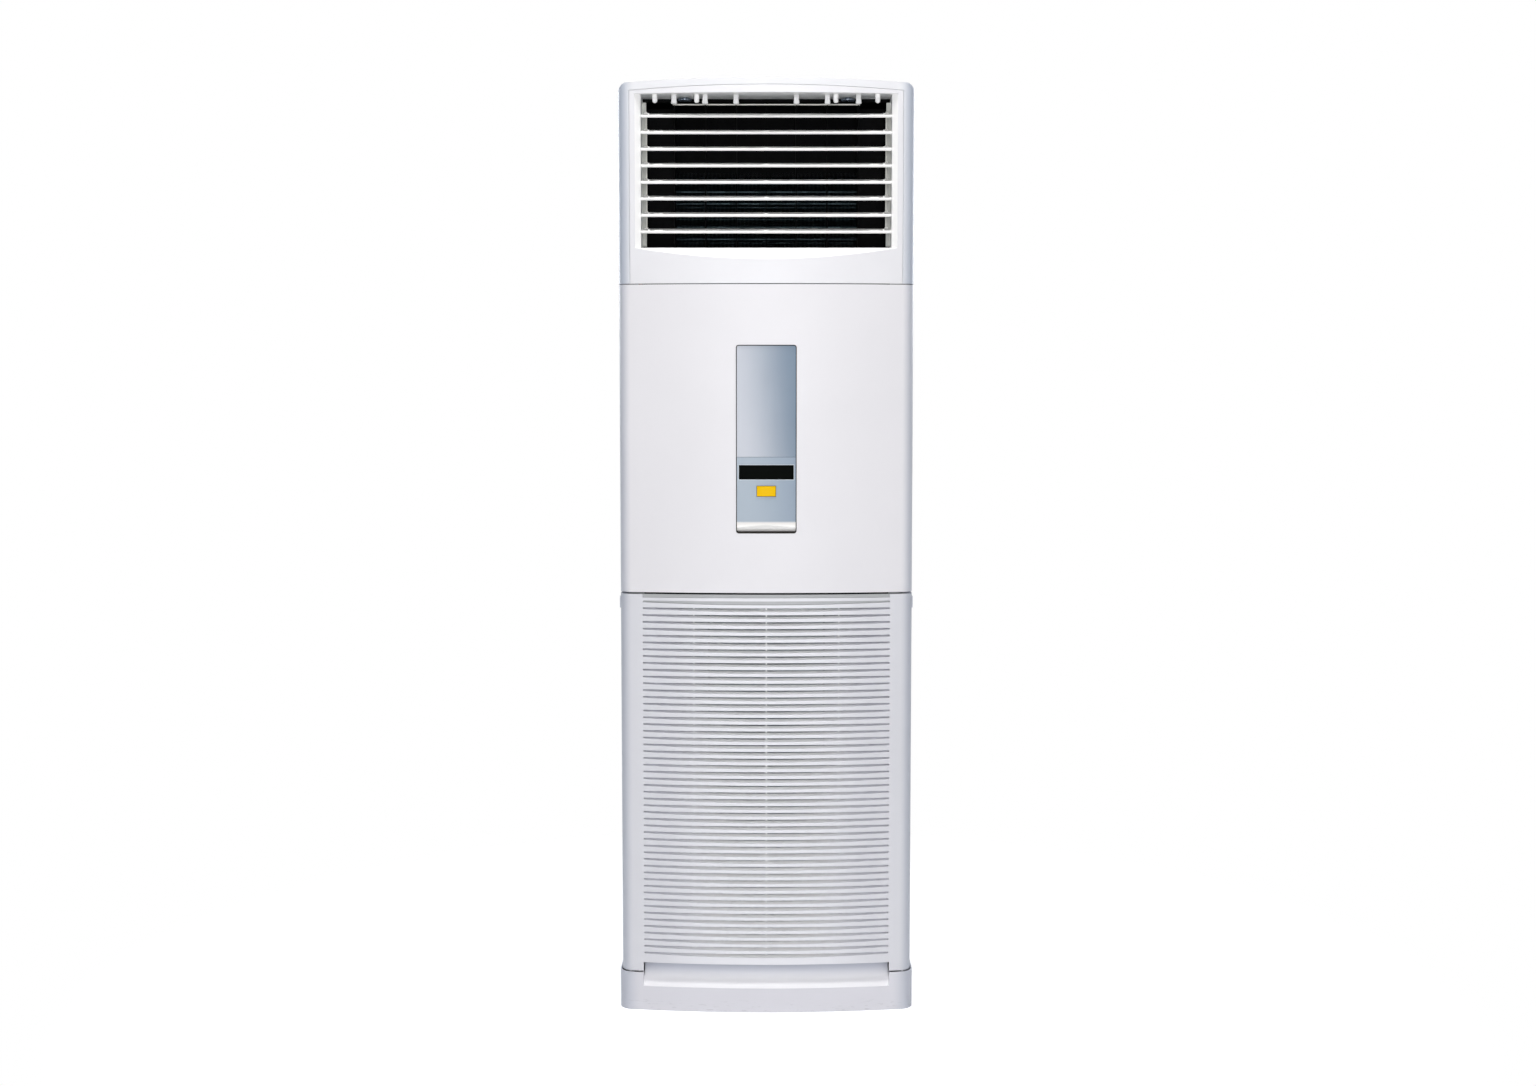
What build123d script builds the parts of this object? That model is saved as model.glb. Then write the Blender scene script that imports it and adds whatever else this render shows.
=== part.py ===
from build123d import *
import math
import os

os.makedirs("parts", exist_ok=True)

# ---------------------------------------------------------------- driving dimensions, mm
# The front faces -Y, +X is to the right, +Z is up. The origin is on the floor, under the centre.

# Cabinet
HEIGHT = 1880.0              # floor to the crown of the top
WIDTH = 600.0                # over the plinth
DEPTH = 350.0
BOW_RADIUS = 1680.0          # the front's curve in plan, at the plinth
CORNER_RADIUS = 25.0         # the cabinet's upright front corners
MARGIN = 4.5                 # the cabinet stands this far inside the plinth, front and sides
WALL = 2.5                   # moulded panels
SHEET = 1.2                  # folded steel
STEEL_FLANGE = 14.0
RETURN_DEPTH = 75.0          # of the moulded fronts' sides, back to the steel ones
SEAT_GAP = 0.2               # between pieces that seat on each other along a curve
CROWN_RISE = 7.2             # the hood's front edge is this much higher at its centre
TOP_CORNER_RADIUS = 21.0     # seen from the front
TOP_DROP = 7.0               # from the crown to the steel cover behind the hood

# Plinth and its scoop
PLINTH_HEIGHT = 78.0
SCOOP_SIDE = 44.5            # from the cabinet's side to the scoop
SCOOP_FALL = 28.0            # the scoop reaches this far below the plinth's top
SCOOP_RISE = 20.0            # and this far above it
SCOOP_DEPTH = 24.0
SCOOP_CORNER = 8.5
SPACER_LENGTH = 20.0

# Intake grille
GRILLE_GAP = 2.0             # over the plinth
GRILLE_HEIGHT = 776.0
GRILLE_THICK = 14.0
SLOT_SIDE = 46.0             # from the cabinet's side to the slots
SLOT_PITCH = 13.9
SLOT_DROP = 27.0             # from the grille's top edge to the first open slot
SLOT_HEIGHT = 8.0            # at the front, on the centre line
SLOT_SLOPE = 0.24            # rise of the slot's floor for each mm of depth
BLIND_DEPTH = 5.0
RIB_EDGE = 18.5              # from the slots' ends to the outer ribs
RIB_SPACING = 146.5
RIB_THICK = 3.0
RIB_DEPTH = 6.0
TILT_DEPTH = 37.0            # the grille's pivot, behind the front
TILT_ROOM = 4.5              # left in the scoop's ends for the grille's foot as it tilts
TILT_PIN_R = 3.0
TILT_EAR_R = 6.5
TILT_EAR_SIDE = 18.5
TILT_EAR_THICK = 4.0

# Side clips of the grille
CLIP_DROP = 31.0             # from the grille's top edge to the clip's foot
CLIP_HEIGHT = 24.0
CLIP_WIDTH = 18.0
CLIP_BACK = 12.0             # from the fronts' rear edge to the clip's middle
CLIP_PROUD = 2.3
CLIP_FLANGE = 2.0
CLIP_GAP = 0.35
CLIP_TRAVEL = 2.0

# Middle panel
PANEL_GAP = 4.0              # over the grille
PANEL_SEAM = 1.6             # under the outlet
PANEL_FLANGE = 16.0

# Display strip, in the middle of the panel
STRIP_HALF = 59.6
STRIP_HEIGHT = 374.3
STRIP_GAP = 0.9
STRIP_CORNER = 4.5
STRIP_INSET = 0.8            # behind the panel's surface
STRIP_SEAM = 0.5
CONTROL_HEIGHT = 151.7       # of the lower plate
PLATE_THICK = 2.0
PLATE_DEPTH = 3.0            # to the control plate's flat back
LIP_RADIUS = 17.0
HOUSING_DEPTH = 22.0
HOUSING_LAP = 6.0            # behind the panel, all round
WINDOW_SIDE = 4.7
WINDOW_DROP = 15.6           # from the lower plate's top
WINDOW_HEIGHT = 29.0
BUTTON_WIDTH = 38.2
BUTTON_HEIGHT = 21.0
BUTTON_DROP = 68.0           # from the lower plate's top to the button's middle
BUTTON_PROUD = 1.4
BUTTON_TRAVEL = 1.2
BUTTON_GAP = 0.4
BUTTON_STEM = 7.0
BOARD_THICK = 1.6

# Outlet frame
FRAME_DROP = 14.0            # from the crown to the frame's arched top edge
FRAME_ARCH = 9.0             # fall of that edge towards its ends
FRAME_HEIGHT = 388.4
FRAME_SIDE = 24.2
FRAME_SEAM = 0.9
LEDGE = 3.0
RIM_SIDE = 9.3               # from the frame's edge to the opening's
REVEAL_TAPER = 12.5          # the opening narrows by this much a side
MOUTH_DROP = 15.0            # from the frame's top edge to the opening's roof
MOUTH_HEIGHT = 302.5
SILL_DROP = 23.0             # the sill's fall to the front, on the centre line
SILL_DEPTH = 25.0
REVEAL_DEPTH = 34.0
DUCT_DEPTH = 175.0
ROOF_REACH = 60.0            # of the duct's roof and floor behind the moulded fronts

# Louvres
LOUVRE_COUNT = 8
LOUVRE_HEADROOM = 39.8       # from the roof to the first louvre's axis
LOUVRE_FOOTROOM = 35.2       # from the sill to the last one's
LOUVRE_DEPTH = 43.0          # the axes, behind the front
LOUVRE_CHORD = 32.0
LOUVRE_NOSE = 5.4            # height of the rounded front edge
LOUVRE_TAIL = 1.6
LOUVRE_TILT = 16.0           # degrees, front edge down
LOUVRE_END_GAP = 0.6
LOUVRE_PIN_R = 2.2
LOUVRE_ARM = 24.0            # from the axis back to the link's peg
LOUVRE_EAR = 2.0
LOUVRE_PEG_R = 1.6
LINK_SIDE = 9.5              # from the duct's wall to the link
LINK_THICK = 2.4
LINK_WIDTH = 6.0
LINK_GAP = 0.4
PIN_CLEARANCE = 0.05         # on the radius, wherever a pin turns

# Upright vanes
VANES_A_SIDE = 3
VANE_FIRST = 60.5            # from the centre to the first vane
VANE_END = 64.5              # from the duct's wall to the last one
VANE_DEPTH = 109.0           # the axes, behind the front
VANE_CHORD = 52.0
VANE_THICK = 1.8
VANE_ARM = 20.0              # from the axis forward to the link's peg
VANE_PIN_R = 2.2
VANE_BOSS_R = 4.0
VANE_LINK_DROP = 14.0        # under the roof
VANE_GAP = 1.0
RAIL_HEIGHT = 6.0
RAIL_DEPTH = 18.0
PEG_R = 5.1
PEG_END = 28.5               # from the duct's wall to the outer pegs
PEG_INNER = 138.0
PEG_DEPTH = 33.5             # behind the front
PEG_LENGTH = 17.5            # under the roof
SWING_VANE = 4               # the vane that the swing motor turns
SWING_MOTOR_R = 15.0
SWING_MOTOR_LENGTH = 15.0

# Blower
DECK_DROP = 56.0             # from the grille's top edge to the deck
FAN_DROP = 330.0             # from the deck to the wheel's axis
SCROLL_SIDE = 58.0           # from the cabinet's wall to the scroll
SCROLL_CLEAR = 25.0          # round the wheel, where the scroll starts
SCROLL_STEP = 15.0           # its growth in each quarter turn
SCROLL_STANDOFF = 18.8       # behind the bulkhead
SCROLL_DEPTH = 146.0
SCROLL_SHEET = 1.5
TONGUE_X = -45.0
TONGUE_RISE = 12.0
THROAT_X = 60.0              # the outlet's right edge at the top
WHEEL_GAP = 12.0             # in front of the wheel
WHEEL_REAR_GAP = 14.0
WHEEL_RING = 32.0            # from the rim to the eye
WHEEL_SHEET = 1.5
BLADE_COUNT = 36
BLADE_THICK = 1.4
BLADE_HOOK = 14.0            # the blades' forward curve
HUB_R = 22.0
HUB_LENGTH = 40.0
SHAFT_R = 6.0
BELL_GAP = 5.0               # inside the wheel's eye
BELL_FLARE = 22.0
BELL_FLANGE = 22.0
BELL_OVERLAP = 8.0           # into the wheel
MOTOR_R = 72.0
MOTOR_LENGTH = 64.0
MOTOR_GAP = 12.0
BRACKET_LEG = 28.0           # beyond the motor's hole
BRACKET_HEIGHT = 70.0
BRACKET_FOOT = 16.0

# Bulkhead and filter
BULKHEAD_REACH = 220.0       # below the wheel's axis
FILTER_SIDE = 5.5            # inside the slots' ends
FILTER_RISE = 10.0           # over the scoop
FILTER_DROP = 18.0           # under the grille's top edge
FILTER_DEPTH = 48.0
FILTER_THICK = 7.0
FILTER_BORDER = 10.0
FILTER_BAR = 3.0
FILTER_COLUMNS = 12
FILTER_ROWS = 20
NET_THICK = 0.8
GUIDE_GAP = 0.5
GUIDE_LIP = 9.0
GUIDE_WALL = 1.5
GUIDE_DROP = 40.0            # the guides end this far below the filter's top

# Coil and its tray
COIL_SIDE = 47.0             # from the cabinet's wall to the fins
COIL_FOOT = 77.0             # the slab's lower end, behind the front
COIL_HEAD = 53.0             # its upper end, in front of the back
COIL_RISE = 38.0             # its lower end, over the tray's floor
COIL_DROP = 133.0            # its upper end, under the duct's roof
COIL_THICK = 44.0
TUBES_PER_ROW = 32
ROW_PITCH = 22.0
FIN_COUNT = 24
FIN_THICK = 1.4
TUBE_R = 4.75
TUBE_CLEARANCE = 0.05
BEND_GAP = 4.0               # straight tube between the end plate and the bends
PIPE_PASS = 60.0             # bare foot of the end plates, where the pipes pass
TRAY_RISE = 70.0             # over the deck
TRAY_HEIGHT = 28.0
TRAY_WALL = 2.0
TRAY_SIDE = 31.0
TRAY_FRONT = 33.0
TRAY_DEPTH = 84.0
HOSE_R = 9.0
HOSE_WALL = 2.0
HOSE_SIDE = 25.0
HOSE_INSET = 20.0            # of the hose from the tray's rear edge
HOSE_OVER_BOX = 30.0         # where it crosses over the control box
HOSE_BEHIND_BOX = 40.0       # where it comes down
HOSE_FOOT_Z = 70.0

# Electrics and pipes at the foot
BOX_SIDE = 17.0
BOX_WIDTH = 216.0
BOX_FRONT = 85.0
BOX_DEPTH = 150.0
BOX_CLEAR = 51.0             # under the scroll
BOARD_GAP = 8.0              # spacers between the control board and its box
TERMINAL_SIZE = (96.0, 26.0, 30.0)
PIPE_Z = 130.0               # the pipe hole and the cable hole
LIQUID_R = 4.75
SUCTION_R = 7.95
PIPE_SPREAD = 18.0           # of each pipe's end from the pipe hole's centre line
PIPE_SETBACK = 55.0          # of the pipes' ends from the back
LIQUID_DROP = (18.4, 109.0)  # from the side wall and from the front, where each pipe comes down
SUCTION_DROP = (32.0, 145.0)
NUT_LENGTH = 16.0

# Base and fixings
BASE_SHEET = 2.0
BASE_FLANGE = 40.0
ANCHOR_X = 480.0             # between the floor bolts
ANCHOR_Y = 220.0
ANCHOR_R = 6.0
WALL_FIX_X = 400.0           # between the wall screws, high on the back
WALL_FIX_DROP = 53.0
WALL_FIX_R = 3.5
PIPE_HOLE_R = 38.0
PIPE_HOLE_SIDE = 115.0
GROMMET_WALL = 4.0
GROMMET_LIP = 3.0
CABLE_HOLE_R = 12.0
CABLE_HOLE_SIDE = 123.0
CABLE_WALL = 4.0
SCREW_R = 4.0
SCREW_HEAD = 1.0
SHANK_R = 1.8
SHANK_LENGTH = 5.0
BACK_SCREWS = 6              # up each side of the back
BACK_SCREW_LOW = 60.0
BACK_SCREW_DROP = 73.0
TOP_SCREW_DROP = 35.0
TOP_SCREW_INSET = 40.0
LINER_THICK = 8.0
LINER_SIDE = 17.0
LINER_HEIGHT = 616.0
LINER_GAP = 1.0              # round the screws' points
BEAD_DEPTH = 1.0
BEAD_LOW_Z = 360.0
BEAD_PITCH = 200.0
BEAD_TOP = 113.0             # plain sheet over the last bead
BEAD_SIDE = 60.0

# ---------------------------------------------------------------- worked out from the above
FRONT_Y = -DEPTH / 2
BACK_Y = DEPTH / 2
RETURN_Y = FRONT_Y + RETURN_DEPTH
CAB_HALF = WIDTH / 2 - MARGIN
CAB_FRONT_Y = FRONT_Y + MARGIN
SKIN = MARGIN + WALL                 # inset of the moulded panels' inner face
SIDE_OUT = CAB_HALF - SHEET - 0.1    # the steel sides stand inside the top cover's edge
SIDE_IN = SIDE_OUT - SHEET
BACK_SKIN_Y = BACK_Y - 2 * SHEET     # front face of the back panel
DECK_BACK_Y = BACK_SKIN_Y - SHEET
BULKHEAD_Y = RETURN_Y + SHEET        # rear face of the bulkhead
TOP_FLAT_Z = HEIGHT - TOP_DROP
BOW_AXIS = Axis((0, FRONT_Y + BOW_RADIUS, 0), (0, 0, 1))

SCOOP_HALF = CAB_HALF - SCOOP_SIDE
SCOOP_LOW_Z = PLINTH_HEIGHT - SCOOP_FALL
SCOOP_HIGH_Z = PLINTH_HEIGHT + SCOOP_RISE
GRILLE_LOW_Z = PLINTH_HEIGHT + GRILLE_GAP
GRILLE_HIGH_Z = GRILLE_LOW_Z + GRILLE_HEIGHT
SLOT_HALF = CAB_HALF - SLOT_SIDE
SLOT_TOP_Z = GRILLE_HIGH_Z - SLOT_DROP
SLOT_COUNT = int((SLOT_TOP_Z - SCOOP_HIGH_Z) / SLOT_PITCH)
RIB_END = SLOT_HALF - RIB_EDGE
RIB_XS = (-RIB_END, -RIB_SPACING, 0.0, RIB_SPACING, RIB_END)
TILT_Y = FRONT_Y + TILT_DEPTH
TILT_Z = PLINTH_HEIGHT
TILT_EAR_X = CAB_HALF - TILT_EAR_SIDE
CLIP_LOW_Z = GRILLE_HIGH_Z - CLIP_DROP
CLIP_Y = RETURN_Y - CLIP_BACK

FRAME_HALF = CAB_HALF - FRAME_SIDE
FRAME_MID_TOP_Z = HEIGHT - FRAME_DROP
FRAME_SIDE_TOP_Z = FRAME_MID_TOP_Z - FRAME_ARCH
FRAME_LOW_Z = FRAME_MID_TOP_Z - FRAME_HEIGHT
RIM_HALF = FRAME_HALF - RIM_SIDE
MOUTH_HALF = RIM_HALF - REVEAL_TAPER
MOUTH_HIGH_Z = FRAME_MID_TOP_Z - MOUTH_DROP
MOUTH_LOW_Z = MOUTH_HIGH_Z - MOUTH_HEIGHT
SILL_BACK_Y = FRONT_Y + SILL_DEPTH
REVEAL_BACK_Y = FRONT_Y + REVEAL_DEPTH
DUCT_BACK_Y = FRONT_Y + DUCT_DEPTH
LOUVRE_Y = FRONT_Y + LOUVRE_DEPTH
LOUVRE_PITCH = (MOUTH_HEIGHT - LOUVRE_HEADROOM - LOUVRE_FOOTROOM) / (LOUVRE_COUNT - 1)
LOUVRE_ZS = [MOUTH_HIGH_Z - LOUVRE_HEADROOM - i * LOUVRE_PITCH for i in range(LOUVRE_COUNT)]
LINK_X = MOUTH_HALF - LINK_SIDE
VANE_Y = FRONT_Y + VANE_DEPTH
VANE_PITCH = (MOUTH_HALF - VANE_END - VANE_FIRST) / (VANES_A_SIDE - 1)
VANE_RIGHT = [VANE_FIRST + i * VANE_PITCH for i in range(VANES_A_SIDE)]
VANE_XS = [-x for x in reversed(VANE_RIGHT)] + VANE_RIGHT
VANE_LINK_Z = MOUTH_HIGH_Z - VANE_LINK_DROP
VANE_LOW_Z = MOUTH_LOW_Z + RAIL_HEIGHT + VANE_GAP
VANE_HIGH_Z = MOUTH_HIGH_Z - RAIL_HEIGHT - VANE_GAP
PEG_XS = (PEG_END - MOUTH_HALF, -PEG_INNER, PEG_INNER, MOUTH_HALF - PEG_END)
PEG_Y = FRONT_Y + PEG_DEPTH

PANEL_LOW_Z = GRILLE_HIGH_Z + PANEL_GAP
PANEL_HIGH_Z = FRAME_LOW_Z - PANEL_SEAM
STRIP_LOW_Z = (PANEL_LOW_Z + PANEL_HIGH_Z - STRIP_HEIGHT) / 2
STRIP_HIGH_Z = STRIP_LOW_Z + STRIP_HEIGHT
STRIP_SEAM_Z = STRIP_LOW_Z + CONTROL_HEIGHT
WINDOW_HALF = STRIP_HALF - WINDOW_SIDE
WINDOW_HIGH_Z = STRIP_SEAM_Z - WINDOW_DROP
WINDOW_LOW_Z = WINDOW_HIGH_Z - WINDOW_HEIGHT
BUTTON_Z = STRIP_SEAM_Z - BUTTON_DROP

DECK_Z = GRILLE_HIGH_Z - DECK_DROP
FAN_Z = DECK_Z - FAN_DROP
SCROLL_FRONT_Y = BULKHEAD_Y + SCROLL_STANDOFF
SCROLL_BACK_Y = SCROLL_FRONT_Y + SCROLL_DEPTH
WHEEL_R = SIDE_IN - SCROLL_SIDE - SCROLL_CLEAR - 3 * SCROLL_STEP
WHEEL_EYE_R = WHEEL_R - WHEEL_RING
WHEEL_FRONT_Y = SCROLL_FRONT_Y + WHEEL_GAP
WHEEL_BACK_Y = SCROLL_BACK_Y - WHEEL_REAR_GAP
SCROLL_RADII = [WHEEL_R + SCROLL_CLEAR + i * SCROLL_STEP for i in range(3)]
BELL_R = WHEEL_EYE_R - BELL_GAP
BELL_END_Y = WHEEL_FRONT_Y + BELL_OVERLAP
MOTOR_HOLE_R = MOTOR_R + MOTOR_GAP
BRACKET_HALF = MOTOR_HOLE_R + BRACKET_LEG
BULKHEAD_LOW_Z = FAN_Z - BULKHEAD_REACH
FILTER_HALF = SLOT_HALF - FILTER_SIDE
FILTER_LOW_Z = SCOOP_HIGH_Z + FILTER_RISE
FILTER_HIGH_Z = GRILLE_HIGH_Z - FILTER_DROP
FILTER_Y = FRONT_Y + FILTER_DEPTH

TRAY_LOW_Z = DECK_Z + TRAY_RISE
TRAY_HALF = SIDE_IN - TRAY_SIDE
TRAY_Y = (FRONT_Y + TRAY_FRONT, FRONT_Y + TRAY_FRONT + TRAY_DEPTH)
COIL_HALF = SIDE_IN - COIL_SIDE
COIL_LOW = (FRONT_Y + COIL_FOOT, TRAY_LOW_Z + COIL_RISE)    # y, z of the slab's lower centre
COIL_HIGH = (BACK_Y - COIL_HEAD, MOUTH_HIGH_Z - COIL_DROP)  # and of its upper centre
COIL_LENGTH = math.hypot(COIL_HIGH[0] - COIL_LOW[0], COIL_HIGH[1] - COIL_LOW[1])
COIL_SIN = (COIL_HIGH[0] - COIL_LOW[0]) / COIL_LENGTH
COIL_COS = (COIL_HIGH[1] - COIL_LOW[1]) / COIL_LENGTH
TUBE_PITCH = COIL_LENGTH / TUBES_PER_ROW
TUBE_END_X = COIL_HALF + SHEET + BEND_GAP
ROW_OFFSETS = (ROW_PITCH / 2, -ROW_PITCH / 2)
BOX_X = (BOX_SIDE - SIDE_IN, BOX_SIDE - SIDE_IN + BOX_WIDTH)
BOX_Y = (FRONT_Y + BOX_FRONT, FRONT_Y + BOX_FRONT + BOX_DEPTH)
BOX_TOP_Z = FAN_Z - SCROLL_RADII[1] - BOX_CLEAR
HOSE_X = HOSE_SIDE - SIDE_IN
HOSE_Y = TRAY_Y[1] - HOSE_INSET
PIPE_HOLE_X = SIDE_IN - PIPE_HOLE_SIDE
CABLE_HOLE_X = CABLE_HOLE_SIDE - SIDE_IN

WALL_FIX_Z = TOP_FLAT_Z - WALL_FIX_DROP
BACK_SCREW_X = SIDE_OUT - STEEL_FLANGE / 2
SCREW_STEP = (TOP_FLAT_Z - BACK_SCREW_DROP - BACK_SCREW_LOW) / (BACK_SCREWS - 1)
BACK_SCREW_ZS = [BACK_SCREW_LOW + i * SCREW_STEP for i in range(BACK_SCREWS)]
TOP_SCREW_Z = TOP_FLAT_Z - TOP_SCREW_DROP
TOP_SCREW_YS = (RETURN_Y + TOP_SCREW_INSET, (RETURN_Y + BACK_Y) / 2, BACK_Y - TOP_SCREW_INSET)
LINER_HALF = SIDE_IN - LINER_SIDE
LINER_HIGH_Z = TOP_FLAT_Z - (CAB_HALF - SIDE_IN) - LINER_THICK / 2
LINER_LOW_Z = LINER_HIGH_Z - LINER_HEIGHT


# ---------------------------------------------------------------- shared shapes
def block(x0, x1, y0, y1, z0, z1):
    """A plain box between two corners, given in any order."""
    size = (abs(x1 - x0), abs(y1 - y0), abs(z1 - z0))
    return Pos((x0 + x1) / 2, (y0 + y1) / 2, (z0 + z1) / 2) * Box(*size)


def rod_x(radius, x0, x1, y, z):
    return Pos((x0 + x1) / 2, y, z) * Rot(0, 90, 0) * Cylinder(radius, abs(x1 - x0))


def rod_y(radius, x, y0, y1, z):
    return Pos(x, (y0 + y1) / 2, z) * Rot(90, 0, 0) * Cylinder(radius, abs(y1 - y0))


def rod_z(radius, x, y, z0, z1):
    return Pos(x, y, (z0 + z1) / 2) * Cylinder(radius, abs(z1 - z0))


def outline(*points):
    return make_face(Polyline(*points, close=True))


def along_x(face, x0, x1):
    """A face drawn in y and z, run from x0 to x1."""
    return extrude(Plane.YZ.offset(x0) * face, amount=x1 - x0)


def along_y(face, y0, y1):
    """A face drawn in x and z, run from y0 back to y1."""
    return extrude(Plane.XZ.offset(-y0) * face, amount=y0 - y1)


def along_z(face, z0, z1):
    """A face drawn in x and y, run from z0 up to z1."""
    return Pos(0, 0, z0) * extrude(face, amount=z1 - z0)


def along_bow(face, half):
    """A face drawn in y and z on the centre line, swung along the front's curve to x = +-half."""
    angle = math.degrees(math.asin(half / BOW_RADIUS))
    swung = revolve(Plane.YZ * face, axis=BOW_AXIS, revolution_arc=2 * angle)
    return swung.rotate(BOW_AXIS, -angle)


def bow_y(x, inset):
    """The y of the bowed front at x, this far inside the plinth's surface."""
    return FRONT_Y + BOW_RADIUS - math.sqrt((BOW_RADIUS - inset) ** 2 - x ** 2)


def plan_face(inset, back):
    """The plan of the cabinet: bowed front, rounded corners, straight sides."""
    half = WIDTH / 2 - inset
    side = bow_y(half, inset)
    edges = [
        ThreePointArc((-half, side), (0, FRONT_Y + inset), (half, side)),
        Line((half, side), (half, back)),
        Line((half, back), (-half, back)),
        Line((-half, back), (-half, side)),
    ]
    face = make_face(edges)
    corners = face.vertices().sort_by(Axis.Y)[:2]
    return fillet(corners, CORNER_RADIUS + MARGIN - inset)


def plan_solid(inset, z0, z1, back=BACK_Y):
    return along_z(plan_face(inset, back), z0, z1)


def plan_shell(inset, wall, z0, z1, back):
    """A U of the cabinet's plan: front and two sides, open behind."""
    return plan_solid(inset, z0, z1, back) - plan_solid(inset + wall, z0 - 1, z1 + 1, back + 1)


def mirrored(shape):
    return mirror(shape, about=Plane.YZ)


def front_profile(top, drop, inset=0.0):
    """The cabinet seen from the front: straight sides, crowned top, rounded corners."""
    half = CAB_HALF - inset
    shoulder = top - drop - inset
    if drop:
        lid = ThreePointArc((-half, shoulder), (0, top - inset), (half, shoulder))
    else:
        lid = Line((-half, shoulder), (half, shoulder))
    edges = [lid, Line((half, shoulder), (half, 0)), Line((half, 0), (-half, 0)),
             Line((-half, 0), (-half, shoulder))]
    face = make_face(edges)
    corners = face.vertices().sort_by(Axis.Y)[-2:]
    return fillet(corners, TOP_CORNER_RADIUS - inset)


# ---------------------------------------------------------------- base and plinth
def base_pan():
    """A folded steel tray on the floor, with four anchor holes."""
    inset = WIDTH / 2 - SIDE_IN
    tray = plan_solid(inset, 0, BASE_FLANGE, BACK_SKIN_Y - SHEET)
    back = BACK_SKIN_Y - SHEET - BASE_SHEET
    tray -= plan_solid(inset + BASE_SHEET, BASE_SHEET, BASE_FLANGE + 1, back)
    for x in (-ANCHOR_X / 2, ANCHOR_X / 2):
        for y in (-ANCHOR_Y / 2, ANCHOR_Y / 2):
            tray -= rod_z(ANCHOR_R, x, y, -1, BASE_SHEET + 1)
    return tray


def scoop_face(extra):
    """The scoop in y and z: a concave back that runs down and forward to its lower lip."""
    lip = FRONT_Y
    deep = FRONT_Y + SCOOP_DEPTH + extra
    low = SCOOP_LOW_Z - extra
    high = SCOOP_HIGH_Z + extra
    hollow = (lip + 0.72 * SCOOP_DEPTH + extra, low + 0.3 * (high - low))
    out = lip - SCOOP_DEPTH
    edges = [
        ThreePointArc((lip, low), hollow, (deep, high)),
        Line((deep, high), (out, high)),
        Line((out, high), (out, low)),
        Line((out, low), (lip, low)),
    ]
    return make_face(edges)


def scoop_window(half, low, corner):
    """The scoop seen from the front: a broad window with rounded lower corners."""
    face = Pos(0, low + HEIGHT / 2) * Rectangle(2 * half, HEIGHT)
    return fillet(face.vertices().sort_by(Axis.Y)[:2], corner)


def plinth():
    """The moulded skirt round the front and sides, with a scoop under the grille."""
    skirt = plan_shell(0, WALL, 0, PLINTH_HEIGHT, BACK_Y)
    high = SCOOP_HIGH_Z
    liner = along_bow(scoop_face(WALL), SCOOP_HALF + WALL)
    window = scoop_window(SCOOP_HALF + WALL, SCOOP_LOW_Z - WALL, SCOOP_CORNER + WALL)
    liner &= along_y(window, FRONT_Y - 1, 0)
    liner &= plan_solid(0, 0, high)
    liner -= plan_shell(0, SKIN + WALL, PLINTH_HEIGHT, high + 1, BACK_Y)
    narrow = block(-SCOOP_HALF + 1, SCOOP_HALF - 1, FRONT_Y, 0, PLINTH_HEIGHT, HEIGHT)
    liner &= narrow + block(-WIDTH, WIDTH, FRONT_Y - 1, 0, 0, PLINTH_HEIGHT)
    hollow = along_bow(scoop_face(0), SCOOP_HALF + WALL)
    hollow &= along_y(scoop_window(SCOOP_HALF, SCOOP_LOW_Z, SCOOP_CORNER), FRONT_Y - 30, 0)
    skirt = skirt + liner - hollow
    room = plan_shell(WALL, MARGIN + 1.5, PLINTH_HEIGHT - TILT_ROOM, PLINTH_HEIGHT + 1, BACK_Y)
    for side in (-1, 1):
        x0, x1 = side * SCOOP_HALF, side * (SCOOP_HALF + WALL)
        skirt -= room & block(x0, x1, FRONT_Y, RETURN_Y, 0, HEIGHT)
    for y in (-SPACER_LENGTH * 4, 0, SPACER_LENGTH * 6):
        spacer = block(SIDE_OUT, WIDTH / 2 - WALL, y, y + SPACER_LENGTH, 0, BASE_FLANGE)
        skirt += spacer + mirrored(spacer)
    return skirt


# ---------------------------------------------------------------- steel casing
def side_panel(side):
    """A folded side: a flat sheet with inward flanges in front and behind."""
    low = BASE_SHEET
    high = TOP_FLAT_Z - TOP_CORNER_RADIUS - 1
    edge = SIDE_OUT - STEEL_FLANGE
    sheet = block(SIDE_IN, SIDE_OUT, RETURN_Y, BACK_SKIN_Y, low, high)
    sheet += block(edge, SIDE_OUT, RETURN_Y, RETURN_Y + SHEET, low + BASE_FLANGE, high)
    sheet += block(edge, SIDE_OUT, BACK_SKIN_Y - SHEET, BACK_SKIN_Y, low, high)
    for z in BACK_SCREW_ZS:
        sheet -= rod_y(SHANK_R + PIN_CLEARANCE, BACK_SCREW_X, 0, BACK_Y, z)
    for y in TOP_SCREW_YS:
        sheet -= rod_x(SHANK_R + PIN_CLEARANCE, 0, CAB_HALF, y, TOP_SCREW_Z)
    return sheet if side > 0 else mirrored(sheet)


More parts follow.
